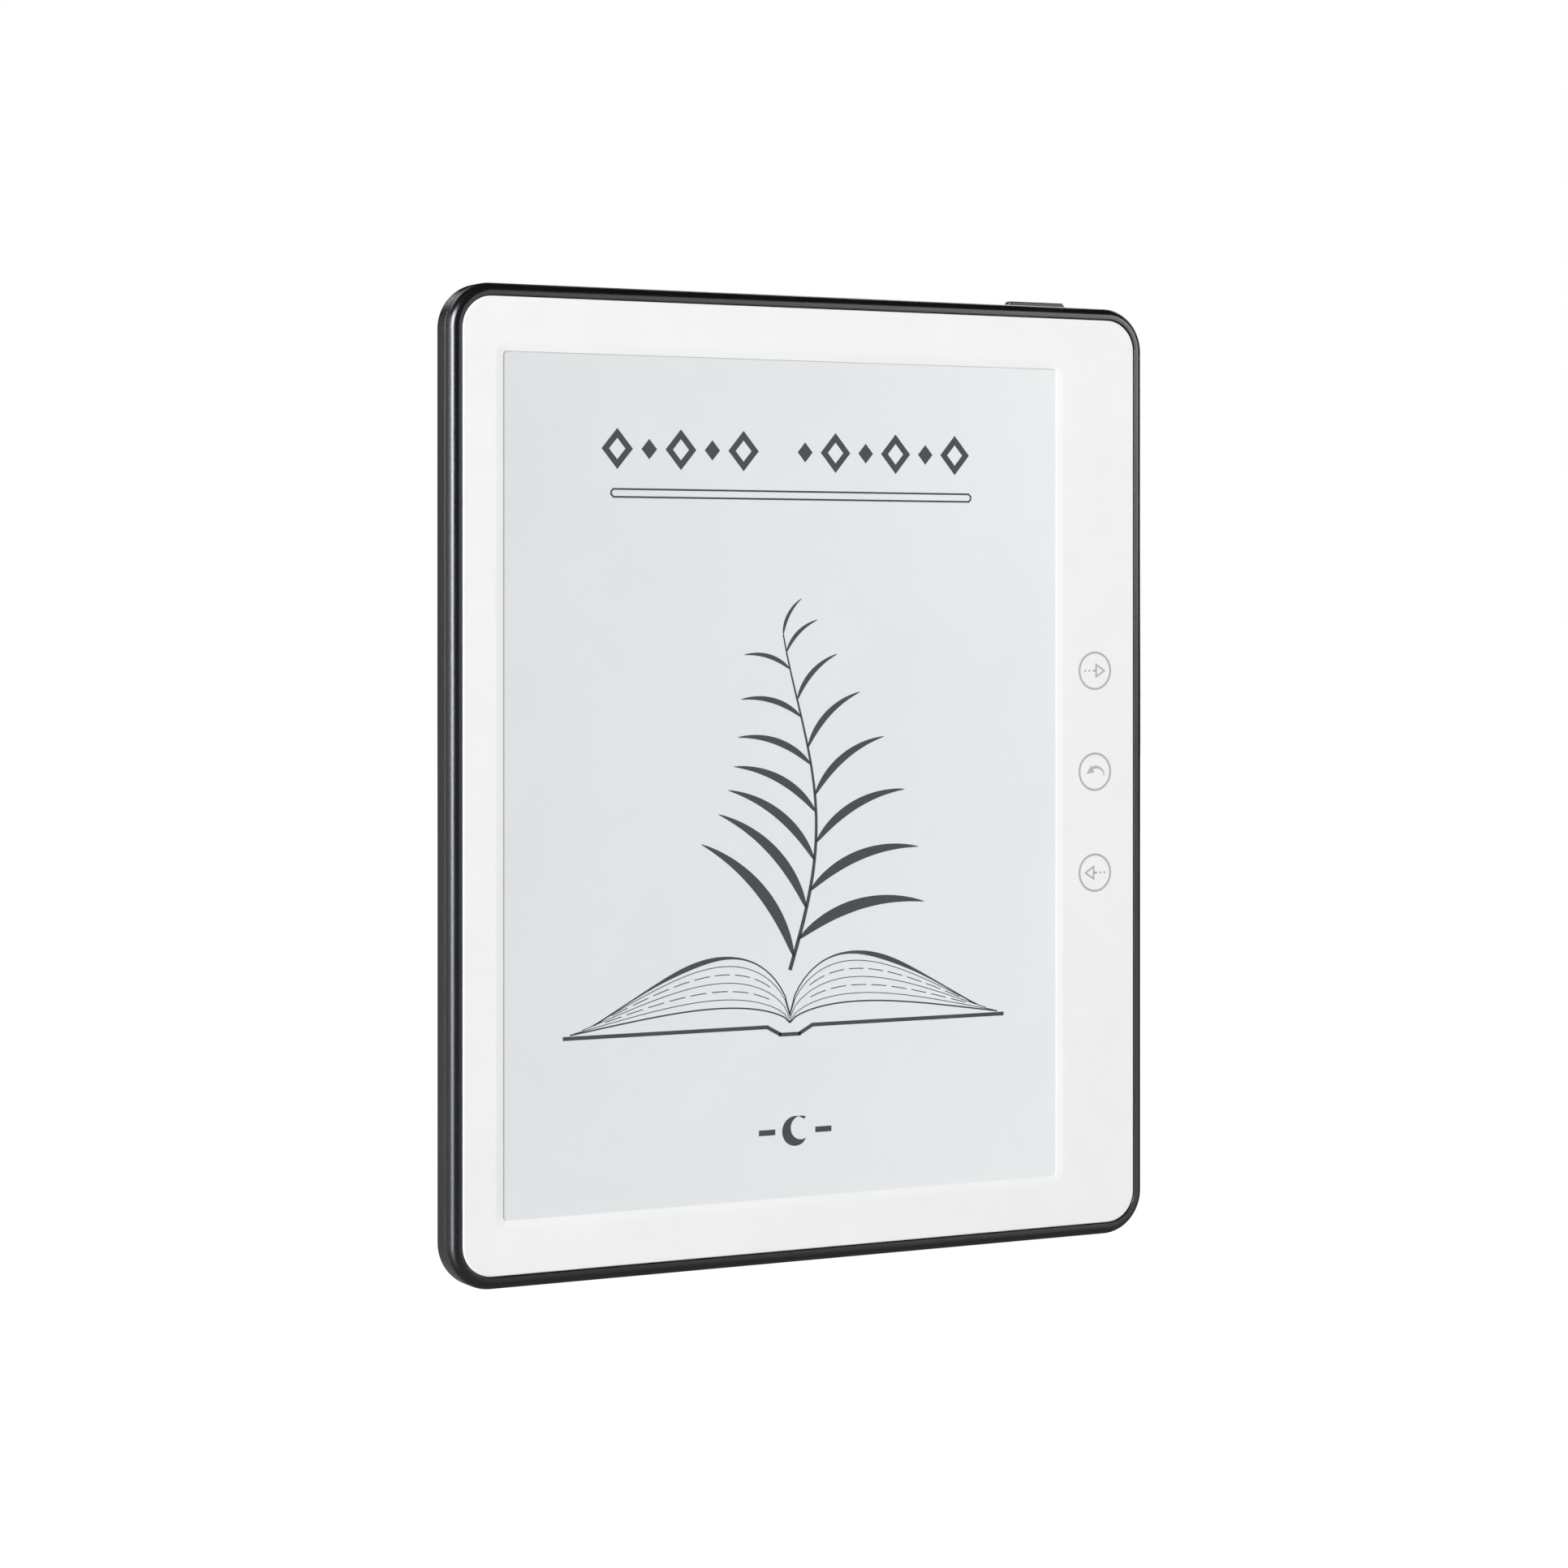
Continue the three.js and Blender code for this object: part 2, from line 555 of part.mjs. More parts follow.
function mainBoard() {
  const foot = { left: BOARD_LEFT, right: BOARD_RIGHT, bottom: BOARD_BOTTOM, top: BOARD_FOOT_TOP };
  const column = { left: BOARD_COLUMN_LEFT, right: BOARD_RIGHT, bottom: BOARD_BOTTOM, top: BOARD_TOP };
  const [footPlate, columnPlate] = [foot, column].map((box) =>
    plate(box, BOARD_CORNER, ...BOARD, SMALL_ARC_STEPS),
  );
  const front = BOARD[0] - OVERRUN;
  const back = BOARD[1] + OVERRUN;
  const notches = [USB_NOTCH, CARD_NOTCH, RESET_NOTCH, POWER_NOTCH].map((box) => block(box, front, back));
  const holes = BOARD_SCREWS.map(({ x, z }) => rod(x, z, BOARD_HOLE_RADIUS, front, back));
  const whole = join(footPlate, [columnPlate]);
  return cut(whole, [...notches, ...holes, flexSlot(KEY_FLEX, front, back)]);
}

const LEDGE_SCREW = { tip: 1.5, headFront: CHASSIS[1] + SLIVER, headBack: 4, shank: 0.55, head: 1.1 };
const BOARD_SCREW = { tip: CHASSIS[0] + 0.2, headFront: ON_BOARD, headBack: 5.35, shank: 0.65, head: 1.3 };
const HEAD_CHAMFER = { width: 0.2, depth: 0.15 };
const RECESS = { length: 1.3, width: 0.3, depth: 0.3 };

// A cross-head screw along Y with its head towards the back.
function screw({ x, z }, { tip, headFront, headBack, shank, head }) {
  const profile = [
    new THREE.Vector2(0, atDepth(tip)),
    new THREE.Vector2(shank, atDepth(tip)),
    new THREE.Vector2(shank, atDepth(headFront)),
    new THREE.Vector2(head, atDepth(headFront)),
    new THREE.Vector2(head, atDepth(headBack) - HEAD_CHAMFER.depth),
    new THREE.Vector2(head - HEAD_CHAMFER.width, atDepth(headBack)),
    new THREE.Vector2(0, atDepth(headBack)),
  ];
  const turned = new THREE.LatheGeometry(profile, 14).translate(x, 0, z);
  const recess = [
    around(x, z, RECESS.length, RECESS.width),
    around(x, z, RECESS.width, RECESS.length),
  ];
  return cut(turned, recess.map((box) => block(box, headBack - RECESS.depth, headBack + OVERRUN)));
}

function addScrews() {
  LEDGE_SCREWS.forEach((place, i) => add(`chassis_screw_${i + 1}`, screw(place, LEDGE_SCREW), STEEL));
  BOARD_SCREWS.forEach((place, i) => add(`board_screw_${i + 1}`, screw(place, BOARD_SCREW), STEEL));
}

// A socket for a flex, opening upwards, with a bar that flips back to free the flex.
const SOCKET_HEIGHT = 3.6;
const SOCKET_BACK = 5.5;
const SOCKET_ABOVE_FLEX = 1.8; // from the end of the flex to the mouth
const SOCKET_CHEEK = 2.5; // beside the flex
const MOUTH_GAP = 0.2;
const LATCH = [5.6, 6.05];
const LATCH_LENGTH = 1.1;
const LATCH_OVERHANG = 1.5; // past each edge of the flex

function addFlexSocket(name, flex) {
  const middle = (flex.left + flex.right) / 2;
  const width = flex.right - flex.left;
  const top = flex.end + SOCKET_ABOVE_FLEX;
  const box = upright(middle, width + 2 * SOCKET_CHEEK, top - SOCKET_HEIGHT, top);
  const mouthBox = upright(middle, width + 2 * MOUTH_GAP, flex.end - MOUTH_GAP, top + OVERRUN);
  const mouth = block(mouthBox, FLEX_BACK - MOUTH_GAP, FLEX_BACK + MOUTH_GAP);
  const latchTop = top - 0.2;
  const latch = upright(middle, width + 2 * LATCH_OVERHANG, latchTop - LATCH_LENGTH, latchTop);
  add(`${name}_socket`, cut(block(box, ON_BOARD, SOCKET_BACK), [mouth]), CONNECTOR_CREAM);
  add(`${name}_latch`, block(latch, ...LATCH), LATCH_BLACK);
}

// What is soldered to the board, with the middle of each, its size and the depth of its back.
const PACKAGES = [
  { name: "processor", x: 50, z: 73, width: 14, height: 14, back: 5.95, material: CHIP_BLACK },
  { name: "memory_chip", x: 50, z: 89, width: 10, height: 12, back: 5.75, material: CHIP_BLACK },
  { name: "storage_chip", x: 40, z: 52, width: 11.5, height: 13, back: 5.75, material: CHIP_BLACK },
  { name: "power_chip", x: 46, z: 138, width: 7, height: 7, back: 5.65, material: CHIP_BLACK },
  { name: "wifi_module", x: 57, z: 153, width: 12, height: 14, back: 6.6, material: STEEL },
];

function addPackages() {
  for (const { name, x, z, width, height, back, material } of PACKAGES) {
    add(name, block(around(x, z, width, height), ON_BOARD, back), material);
  }
}

// A can open towards the board, over the processor and memory.
const CAN = { box: around(50, 80, 28, 36), back: 6.75, sheet: 0.2, corner: 0.8 };

function shieldCan() {
  const hollow = block(grow(CAN.box, -CAN.sheet), ON_BOARD - OVERRUN, CAN.back - CAN.sheet);
  return cut(plate(CAN.box, CAN.corner, ON_BOARD, CAN.back, SMALL_ARC_STEPS), [hollow]);
}

// A stamped strip antenna on two legs.
const ANTENNA = { x: 40, z: 164, width: 14, height: 4, front: 6.3, back: 6.5, legs: [34, 38] };

function wifiAntenna() {
  const { x, z, width, height, front, back, legs } = ANTENNA;
  const strip = block(around(x, z, width, height), front, back);
  const legHeight = z - height / 2 + 0.2;
  return join(strip, legs.map((legX) => block(around(legX, legHeight, 1, 0.4), ON_BOARD, back - 0.1)));
}

// ---- Battery ----

const CELL = { left: -64, right: 20, bottom: 58, top: 164 };
const CELL_DEPTHS = [3.6, 6.8];
const CELL_EDGE = 1.2;
const CELL_CORNER = 2.5;
const CELL_TAPE_INSET = 8;
const CIRCUIT = { left: -36, right: -6, bottom: 164.4, top: 169 };
const CIRCUIT_DEPTHS = [4.6, 6.2];
const PLUG = { left: 30.2, right: 34.2, bottom: 164.2, top: 169.8 };
const PLUG_SOCKET = { ...grow(PLUG, 0.4), left: PLUG.right + 0.1, right: PLUG.right + 3 };
const WIRE_DEPTH = 5.5;
const WIRE_RADIUS = 0.45;
const WIRE_BOW = 1.6; // how far the wires bow up between their ends
const WIRES = [
  { name: "battery_wire_red", z: 168.2, material: WIRE_RED },
  { name: "battery_wire_black", z: 165.6, material: WIRE_BLACK },
];

// A soft pouch cell with rounded edges.
function batteryCell() {
  return loft([
    ...frontFillet(CELL, CELL_CORNER, CELL_EDGE, CELL_DEPTHS[0]),
    ...backFillet(CELL, CELL_CORNER, CELL_EDGE, CELL_DEPTHS[1]),
  ]);
}

function batteryWire(height) {
  const points = [0, 0.25, 0.5, 0.75, 1].map((share) => {
    const x = THREE.MathUtils.lerp(CIRCUIT.right + 0.1, PLUG.left - 0.1, share);
    const z = height + WIRE_BOW * Math.sin(Math.PI * share);
    return new THREE.Vector3(x, atDepth(WIRE_DEPTH), z);
  });
  const section = new THREE.Shape().absarc(0, 0, WIRE_RADIUS, 0, 2 * Math.PI, false);
  return new THREE.ExtrudeGeometry(section, {
    steps: 16,
    curveSegments: 8,
    extrudePath: new THREE.CatmullRomCurve3(points),
  });
}

function batteryTape() {
  const box = grow(CELL, -CELL_TAPE_INSET);
  return plate(box, 1, CHASSIS[1] + GLUE_LINE, CELL_DEPTHS[0] - GLUE_LINE, SMALL_ARC_STEPS);
}

function addBattery() {
  add("battery_cell", batteryCell(), CELL_SILVER);
  add("battery_tape", batteryTape(), TAPE);
  add("battery_circuit", plate(CIRCUIT, 0.4, ...CIRCUIT_DEPTHS, SMALL_ARC_STEPS), BOARD_GREEN);
  add("battery_plug", block(PLUG, ON_BOARD + 0.1, 6.2), CONNECTOR_CREAM);
  add("battery_socket", block(PLUG_SOCKET, ON_BOARD, 6.3), CONNECTOR_CREAM);
  for (const { name, z, material } of WIRES) {
    add(name, batteryWire(z), material);
  }
}

// ---- Sockets in the bottom edge ----

// A micro socket: the mouth's height in Z, its end inside the case and the size of its tube.
const USB_MOUTH = 0.5;
const USB_END = 6.1;
const USB_WIDE = 7.5;
const USB_NARROW = 5.5;
const USB_DEPTH = 2.5;
const USB_SHEET = 0.3;
const USB_TONGUE_WIDTH = 3.8;
const USB_TONGUE_DEPTHS = [4.5, 5.05];

// The tube's outline, wide towards the back, drawn in X and depth.
function usbProfile(inset) {
  const halfWide = USB_WIDE / 2 - inset;
  const halfNarrow = USB_NARROW / 2 - inset;
  const front = atDepth(PORT_DEPTH) - USB_DEPTH / 2 + inset;
  const back = atDepth(PORT_DEPTH) + USB_DEPTH / 2 - inset;
  const shape = new THREE.Shape();
  shape.moveTo(-halfNarrow, front);
  shape.lineTo(halfNarrow, front);
  shape.lineTo(halfWide, front + 0.8);
  shape.lineTo(halfWide, back);
  shape.lineTo(-halfWide, back);
  shape.lineTo(-halfWide, front + 0.8);
  return shape;
}

function usbPrism(inset, bottom, top) {
  const extrusion = { depth: top - bottom, bevelEnabled: false };
  return new THREE.ExtrudeGeometry(usbProfile(inset), extrusion).translate(USB_X, 0, bottom);
}

function addUsbSocket() {
  const wings = [-1, 1].map((side) =>
    block(around(USB_X + side * 4.6, 5, 2, 1.6), ON_BOARD, ON_BOARD + USB_SHEET),
  );
  const bore = usbPrism(USB_SHEET, USB_MOUTH - OVERRUN, USB_END + OVERRUN);
  const tube = cut(usbPrism(0, USB_MOUTH, USB_END), [bore]);
  const core = usbPrism(USB_SHEET + 0.1, USB_END - 1.4, USB_END);
  const tongueBox = upright(USB_X, USB_TONGUE_WIDTH, USB_MOUTH + 0.8, USB_END - 1);
  add("usb_shell", join(tube, wings), STEEL);
  add("usb_tongue", join(core, [block(tongueBox, ...USB_TONGUE_DEPTHS)]), CHIP_BLACK);
}

// A slot for a small memory card, let into the board's edge.
const CARD_SLOT = { width: 14, bottom: 1.7, top: 15, depths: [3.55, 5.05] };
const CARD_WELL = { width: 11.4, bottom: 0, top: 14.4, depths: [3.8, 4.8] };

function cardSlot() {
  const [shell, well] = [CARD_SLOT, CARD_WELL].map(({ width, bottom, top, depths }) =>
    block(upright(CARD_X, width, bottom, top), ...depths),
  );
  return cut(shell, [well]);
}

function addStatusLight() {
  const lamp = block(around(LIGHT_X, BOARD_BOTTOM + 0.6, 1.6, 0.8), ON_BOARD, 5.35);
  const pipe = uprightRod(LIGHT_X, LIGHT_PIPE_DEPTH, 0.6, 0.15, BOARD_BOTTOM - 0.2, 12);
  add("status_light", lamp, LED_WHITE);
  add("light_pipe", pipe, CLEAR_PLASTIC);
}

// ---- The whole reader ----

add("front_bezel", frontBezel(), WHITE_PLASTIC);
add("bezel_tape", bezelTape(), TAPE);
add("front_frame", frontFrame(), CHARCOAL_PLASTIC);
add("rear_cover", rearCover(), CHARCOAL_PLASTIC);
add("power_button", powerButton(), CHARCOAL_PLASTIC);
addSwitch("power", BUTTON_X, POWER_SWITCH_MOUTH, 1);
addSwitch("reset", RESET_X, RESET_SWITCH_MOUTH, -1);
addDisplay();
add("chassis_plate", chassisPlate(), ALLOY);
add("main_board", mainBoard(), BOARD_GREEN);
addScrews();
addFlexSocket("display", DISPLAY_FLEX);
addFlexSocket("key", KEY_FLEX);
addPackages();
add("shield_can", shieldCan(), STEEL);
add("wifi_antenna", wifiAntenna(), STEEL);
addBattery();
addUsbSocket();
add("card_slot", cardSlot(), STEEL);
addStatusLight();

export default reader;
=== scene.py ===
"""An e-reader standing upright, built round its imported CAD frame. Lengths are in metres.

+X is to the reader's right, +Z is up and the screen faces -Y. A depth is measured back from the front
face, and an inset is measured inwards from the outline that it belongs to.
"""
import json
import math
from collections import namedtuple

import bpy
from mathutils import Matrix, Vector


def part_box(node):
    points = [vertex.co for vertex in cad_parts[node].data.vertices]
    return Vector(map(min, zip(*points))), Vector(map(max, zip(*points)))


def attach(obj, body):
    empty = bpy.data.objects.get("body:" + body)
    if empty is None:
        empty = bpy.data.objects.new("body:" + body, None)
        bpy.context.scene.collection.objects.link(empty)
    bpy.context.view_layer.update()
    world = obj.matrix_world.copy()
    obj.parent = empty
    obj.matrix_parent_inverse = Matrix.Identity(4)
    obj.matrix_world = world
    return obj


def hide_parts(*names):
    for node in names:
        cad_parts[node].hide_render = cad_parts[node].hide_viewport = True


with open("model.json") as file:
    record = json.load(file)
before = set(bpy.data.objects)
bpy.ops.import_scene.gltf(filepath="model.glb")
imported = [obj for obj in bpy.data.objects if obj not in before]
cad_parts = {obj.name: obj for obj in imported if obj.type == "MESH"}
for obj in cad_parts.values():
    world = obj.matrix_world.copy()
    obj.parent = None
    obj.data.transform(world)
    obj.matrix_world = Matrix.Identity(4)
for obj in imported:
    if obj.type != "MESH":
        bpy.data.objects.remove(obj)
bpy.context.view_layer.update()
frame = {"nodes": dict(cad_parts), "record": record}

nodes = frame["nodes"]

MM = 0.001
READER = "reader"

# ---- Measures read off the frame ----

Rect = namedtuple("Rect", "left right bottom top")


def rect_of(node, inset=0.0):
    """The outline of a CAD node as the reader sees it."""
    low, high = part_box(node)
    return Rect(low.x + inset, high.x - inset, low.z + inset, high.z - inset)


def middle_x(node):
    rect = rect_of(node)
    return (rect.left + rect.right) / 2


def grown(rect, by):
    """The outline moved outwards by a length on all sides."""
    return Rect(rect.left - by, rect.right + by, rect.bottom - by, rect.top + by)


FRONT_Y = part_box("front_bezel")[0].y
BODY = rect_of("rear_cover")
PANEL = rect_of("front_bezel")
MODULE = rect_of("display_glass")
FILM_MARGIN = 1.5 * MM  # the film runs this far behind the panel's lip
SCREEN = rect_of("screen_film", FILM_MARGIN)


def depth_of(y):
    return y - FRONT_Y


PARTING = depth_of(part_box("front_frame")[1].y)
BODY_DEPTH = depth_of(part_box("rear_cover")[1].y)
FILM_FRONT = depth_of(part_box("screen_film")[0].y)
FILM_BACK = depth_of(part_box("screen_film")[1].y)
PANEL_THICKNESS = depth_of(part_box("front_bezel")[1].y)

RIM = PANEL.left - BODY.left
PANEL_CORNER = 6.1 * MM
BODY_CORNER = PANEL_CORNER + RIM
PANEL_GAP = 0.2 * MM  # between the white panel and the rim
POCKET_GAP = 0.3 * MM  # between the panel's pocket and the display
PANEL_EDGE = 0.3 * MM
LIP = 0.22 * MM
BEVEL_WIDTH = 1.5 * MM
BEVEL_DEPTH = 0.12 * MM
WINDOW_CORNER = 0.8 * MM
LEDGE_FRONT = 1.2 * MM
LEDGE_WIDTH = 3.2 * MM
FRONT_FILLET = 1.8 * MM
BACK_FILLET = 3 * MM
WALL = 1.4 * MM
BACK_WALL = 1.3 * MM
SEAM = 0.08 * MM
SOFT_EDGE = 0.09 * MM  # rounding of every moulded edge that a hand can feel
INNER_EDGE = 0.15 * MM  # the rim's rounding towards the panel
FINE_EDGE = 0.05 * MM
BEVEL_SOFTNESS = 6 * MM  # radius that blends the window's bevel into the panel's face

# ---- Closed meshes through rounded outlines ----

# A station is one outline on a surface, with the share of the surface's direction there that points
# outwards and back. Two stations at one place with different directions make a crease.
Outline = namedtuple("Outline", "corners radius")
Station = namedtuple("Station", "outline inset depth out back")

# Which of x, y and z the two directions of an outline and its depth run along.
FACING_READER = (0, 2, 1)
STANDING = (1, 0, 2)

CORNER_STEPS = 24
SMALL_CORNER_STEPS = 8
EDGE_STEPS = 6
FILLET_STEPS = 16
SHADE = "shade"


def rounded(rect, radius):
    corners = [
        (rect.right, rect.bottom),
        (rect.right, rect.top),
        (rect.left, rect.top),
        (rect.left, rect.bottom),
    ]
    return Outline(corners, radius)


def edge_direction(start, end):
    """The direction that points out of an anticlockwise outline along one of its sides."""
    run, rise = end[0] - start[0], end[1] - start[1]
    length = math.hypot(run, rise)
    return rise / length, -run / length


def around(outline, inset, steps):
    """Points round an outline drawn in by inset, each with its outward direction: (u, v, out_u, out_v)."""
    corners = outline.corners
    radius = max(outline.radius - inset, FINE_EDGE / 10)
    points = []
    for i, corner in enumerate(corners):
        before = edge_direction(corners[i - 1], corner)
        after = edge_direction(corner, corners[(i + 1) % len(corners)])
        share = (inset + radius) / (1 + before[0] * after[0] + before[1] * after[1])
        centre_u = corner[0] - share * (before[0] + after[0])
        centre_v = corner[1] - share * (before[1] + after[1])
        start = math.atan2(before[1], before[0])
        sweep = (math.atan2(after[1], after[0]) - start) % (2 * math.pi)
        for step in range(steps + 1):
            turn = start + sweep * step / steps
            out_u, out_v = math.cos(turn), math.sin(turn)
            points.append((centre_u + radius * out_u, centre_v + radius * out_v, out_u, out_v))
    return points


def straight(outline, start, end):
    """A straight stretch between two (inset, depth) pairs."""
    outward = start[0] - end[0]
    backward = end[1] - start[1]
    length = math.hypot(outward, backward)
    out, back = backward / length, -outward / length
    return [Station(outline, *start, out, back), Station(outline, *end, out, back)]


def arc(outline, centre, radius, start, end, steps=EDGE_STEPS, hollow=False):
    """A round stretch about an (inset, depth) pair. Angle 0 points outwards, 90 back and -90 to the front."""
    facing = -1 if hollow else 1
    stations = []
    for step in range(steps + 1):
        turn = math.radians(start + (end - start) * step / steps)
        out, back = math.cos(turn), math.sin(turn)
        inset = centre[0] - radius * out
        depth = centre[1] + radius * back
        stations.append(Station(outline, inset, depth, facing * out, facing * back))
    return stations


def mesh_with_shading(name, points, faces, directions):
    """A mesh whose shading direction at each corner of each face is given."""
    mesh = bpy.data.meshes.new(name)
    mesh.from_pydata(points, [], faces)
    flat = [number for direction in directions for number in direction]
    mesh.attributes.new(SHADE, "FLOAT_VECTOR", "CORNER").data.foreach_set("vector", flat)
    return mesh


def skin(name, stations, capped=False, steps=CORNER_STEPS, axes=FACING_READER, rise=None):
    """A closed mesh through the stations: a ring that ends where it began, or a capped solid."""
    loops, loop_of, points = [], [], []
    places = []
    for station in stations:
        place = around(station.outline, station.inset, steps)
        key = [round(value, 9) for u, v, _, _ in place for value in (u, v, station.depth)]
        if key not in places[-1:] and not (places and not capped and key == places[0]):
            places.append(key)
            loops.append(range(len(points), len(points) + len(place)))
            for u, v, _, _ in place:
                point = [0.0, 0.0, 0.0]
                point[axes[0]], point[axes[1]], point[axes[2]] = u, v, station.depth
                if axes == FACING_READER:
                    point[1] += FRONT_Y
                if rise:
                    point[2] += rise(depth_of(point[1]))
                points.append(point)
        loop_of.append((places.index(key), place))
    faces, directions = [], []

    def direction(station, point):
        result = [0.0, 0.0, 0.0]
        result[axes[0]] = point[2] * station.out
        result[axes[1]] = point[3] * station.out
        result[axes[2]] = station.back
        return result

    count = len(loops[0])
    for k in range(len(stations) - 1):
        (near, near_place), (far, far_place) = loop_of[k], loop_of[k + 1]
        if near == far:
            continue
        for i in range(count):
            j = (i + 1) % count
            faces.append((loops[near][i], loops[far][i], loops[far][j], loops[near][j]))
            directions.append(direction(stations[k], near_place[i]))
            directions.append(direction(stations[k + 1], far_place[i]))
            directions.append(direction(stations[k + 1], far_place[j]))
            directions.append(direction(stations[k], near_place[j]))
    if capped:
        for loop, back in ((list(loops[0]), -1.0), (list(loops[-1])[::-1], 1.0)):
            cap = [0.0, 0.0, 0.0]
            cap[axes[2]] = back
            faces.append(loop)
            directions += [cap] * count
    return mesh_with_shading(name, points, faces, directions)


def carve(mesh, tools):
    """The mesh with closed tools cut out of it. Shading directions are kept on both."""
    body = bpy.data.objects.new("body_to_carve", mesh)
    bpy.context.scene.collection.objects.link(body)
    cutters = []
    for number, tool in enumerate(tools):
        cutter = bpy.data.objects.new(f"cutter_{number}", tool)
        bpy.context.scene.collection.objects.link(cutter)
        cutters.append(cutter)
        modifier = body.modifiers.new(cutter.name, "BOOLEAN")
        modifier.operation = "DIFFERENCE"
        modifier.solver = "EXACT"
        modifier.object = cutter
    graph = bpy.context.evaluated_depsgraph_get()
    carved = bpy.data.meshes.new_from_object(body.evaluated_get(graph), depsgraph=graph)
    for leftover in [body, *cutters]:
        bpy.data.objects.remove(leftover)
    return carved


def set_shading(mesh):
    """Turns the kept shading directions into the mesh's own, turned over where a tool cut the face."""
    mesh.shade_smooth()
    kept = mesh.attributes[SHADE].data
    directions = [None] * len(mesh.loops)
    for face in mesh.polygons:
        for corner in face.loop_indices:
            direction = Vector(kept[corner].vector)
            if direction.length < 0.5:
                direction = face.normal.copy()
            if direction.dot(face.normal) < 0:
                direction.negate()
            directions[corner] = direction.normalized()
    mesh.attributes.remove(mesh.attributes[SHADE])
    mesh.normals_split_custom_set(directions)


def joined(name, meshes):
    """One mesh that holds several, with their shading directions."""
    points, faces, directions = [], [], []
    for mesh in meshes:
        offset = len(points)
        points += [vertex.co[:] for vertex in mesh.vertices]
        faces += [[offset + index for index in face.vertices] for face in mesh.polygons]
        directions += [kept.vector[:] for kept in mesh.attributes[SHADE].data]
    return mesh_with_shading(name, points, faces, directions)


def add_piece(name, mesh, material, stands_for=(), body=READER):
    piece = bpy.data.objects.new(name, mesh)
    bpy.context.scene.collection.objects.link(piece)
    mesh.materials.clear()
    mesh.materials.append(material)
    if SHADE in mesh.attributes:
        set_shading(mesh)
    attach(piece, body)
    if stands_for:
        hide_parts(*stands_for)
    return piece


# ---- Materials ----


class Shader:
    """A node material under construction, with the pattern coordinates that all its nodes share."""

    def __init__(self, name):
        self.material = bpy.data.materials.new(name)
        self.material.use_nodes = True
        self.tree = self.material.node_tree
        self.surface = self.tree.nodes["Principled BSDF"]
        self.place = self.tree.nodes.new("ShaderNodeTexCoord").outputs["Object"]

    def node(self, kind, **settings):
        node = self.tree.nodes.new(kind)
        for name, value in settings.items():
            setattr(node, name, value)
        return node

    def link(self, output, target):
        self.tree.links.new(output, target)

    def set(self, **values):
        """Sets sockets of the surface: base_color=... is the socket Base Color."""
        for name, value in values.items():
            self.surface.inputs[name.replace("_", " ").title().replace("Ior", "IOR")].default_value = value

    def stretched(self, scale):
        mapping = self.node("ShaderNodeMapping")
        mapping.inputs["Scale"].default_value = scale
        self.link(self.place, mapping.inputs["Vector"])
        return mapping.outputs["Vector"]

    def noise(self, size, detail=2.0, roughness=0.5, place=None):
        """Noise whose features are about size metres across."""
        node = self.node("ShaderNodeTexNoise")
        node.inputs["Scale"].default_value = 1 / size
        node.inputs["Detail"].default_value = detail
        node.inputs["Roughness"].default_value = roughness
        self.link(place or self.place, node.inputs["Vector"])
        return node.outputs["Fac"]

    def cells(self, size):
        """Distances to the middles of cells that are about size metres across."""
        node = self.node("ShaderNodeTexVoronoi")
        node.inputs["Scale"].default_value = 1 / size
        self.link(self.place, node.inputs["Vector"])
        return node.outputs["Distance"]

    def math(self, operation, first, second=None):
        node = self.node("ShaderNodeMath", operation=operation)
        for socket, value in zip(node.inputs, (first, second)):
            if isinstance(value, bpy.types.NodeSocket):
                self.link(value, socket)
            elif value is not None:
                socket.default_value = value
        return node.outputs["Value"]

    def spread(self, value, low, high, start=0.0, end=1.0):
        """value from start to end, as a number from low to high."""
        node = self.node("ShaderNodeMapRange")
        for name, number in (("From Min", start), ("From Max", end), ("To Min", low), ("To Max", high)):
            node.inputs[name].default_value = number
        self.link(value, node.inputs["Value"])
        return node.outputs["Result"]

    def blend(self, share, first, second):
        """The mix of two colours, each a colour or a socket."""
        node = self.node("ShaderNodeMix", data_type="RGBA")
        self.link(share, node.inputs["Factor"])
        for socket, value in ((node.inputs[6], first), (node.inputs[7], second)):
            if isinstance(value, bpy.types.NodeSocket):
                self.link(value, socket)
            else:
                socket.default_value = value
        return node.outputs[2]

    def colour(self, output):
        self.link(output, self.surface.inputs["Base Color"])

    def rough(self, output):
        self.link(output, self.surface.inputs["Roughness"])

    def bump(self, height, distance):
        node = self.node("ShaderNodeBump")
        node.inputs["Distance"].default_value = distance
        self.link(height, node.inputs["Height"])
        self.link(node.outputs["Normal"], self.surface.inputs["Normal"])


def grey(level):
    return (level, level, level, 1.0)


CLOUD_SIZE = 9 * MM
SMEAR_SIZE = 22 * MM
WHITE = (1, 1, 1)


def moulded(name, light, dark, roughness, grain, grain_height, specular=0.5, tint=WHITE):
    """Moulded plastic: two close tones in soft clouds, a fine grain and an uneven gloss."""
    shader = Shader(name)
    clouds = shader.noise(CLOUD_SIZE, detail=3.0)
    shader.colour(shader.blend(shader.spread(clouds, 0, 1, 0.3, 0.7), dark, light))
    smears = shader.noise(SMEAR_SIZE, detail=4.0, roughness=0.6)
    fine = shader.noise(grain * 1.7)
    gloss = shader.math("ADD", shader.spread(smears, -0.04, 0.04, 0.3, 0.7), shader.spread(fine, -0.03, 0.03))
    shader.rough(shader.math("ADD", gloss, roughness))
    shader.set(specular_ior_level=specular, specular_tint=(*tint, 1.0))
    pits = shader.cells(grain)
    shader.bump(shader.math("ADD", pits, shader.noise(grain * 0.6)), grain_height)
    return shader.material


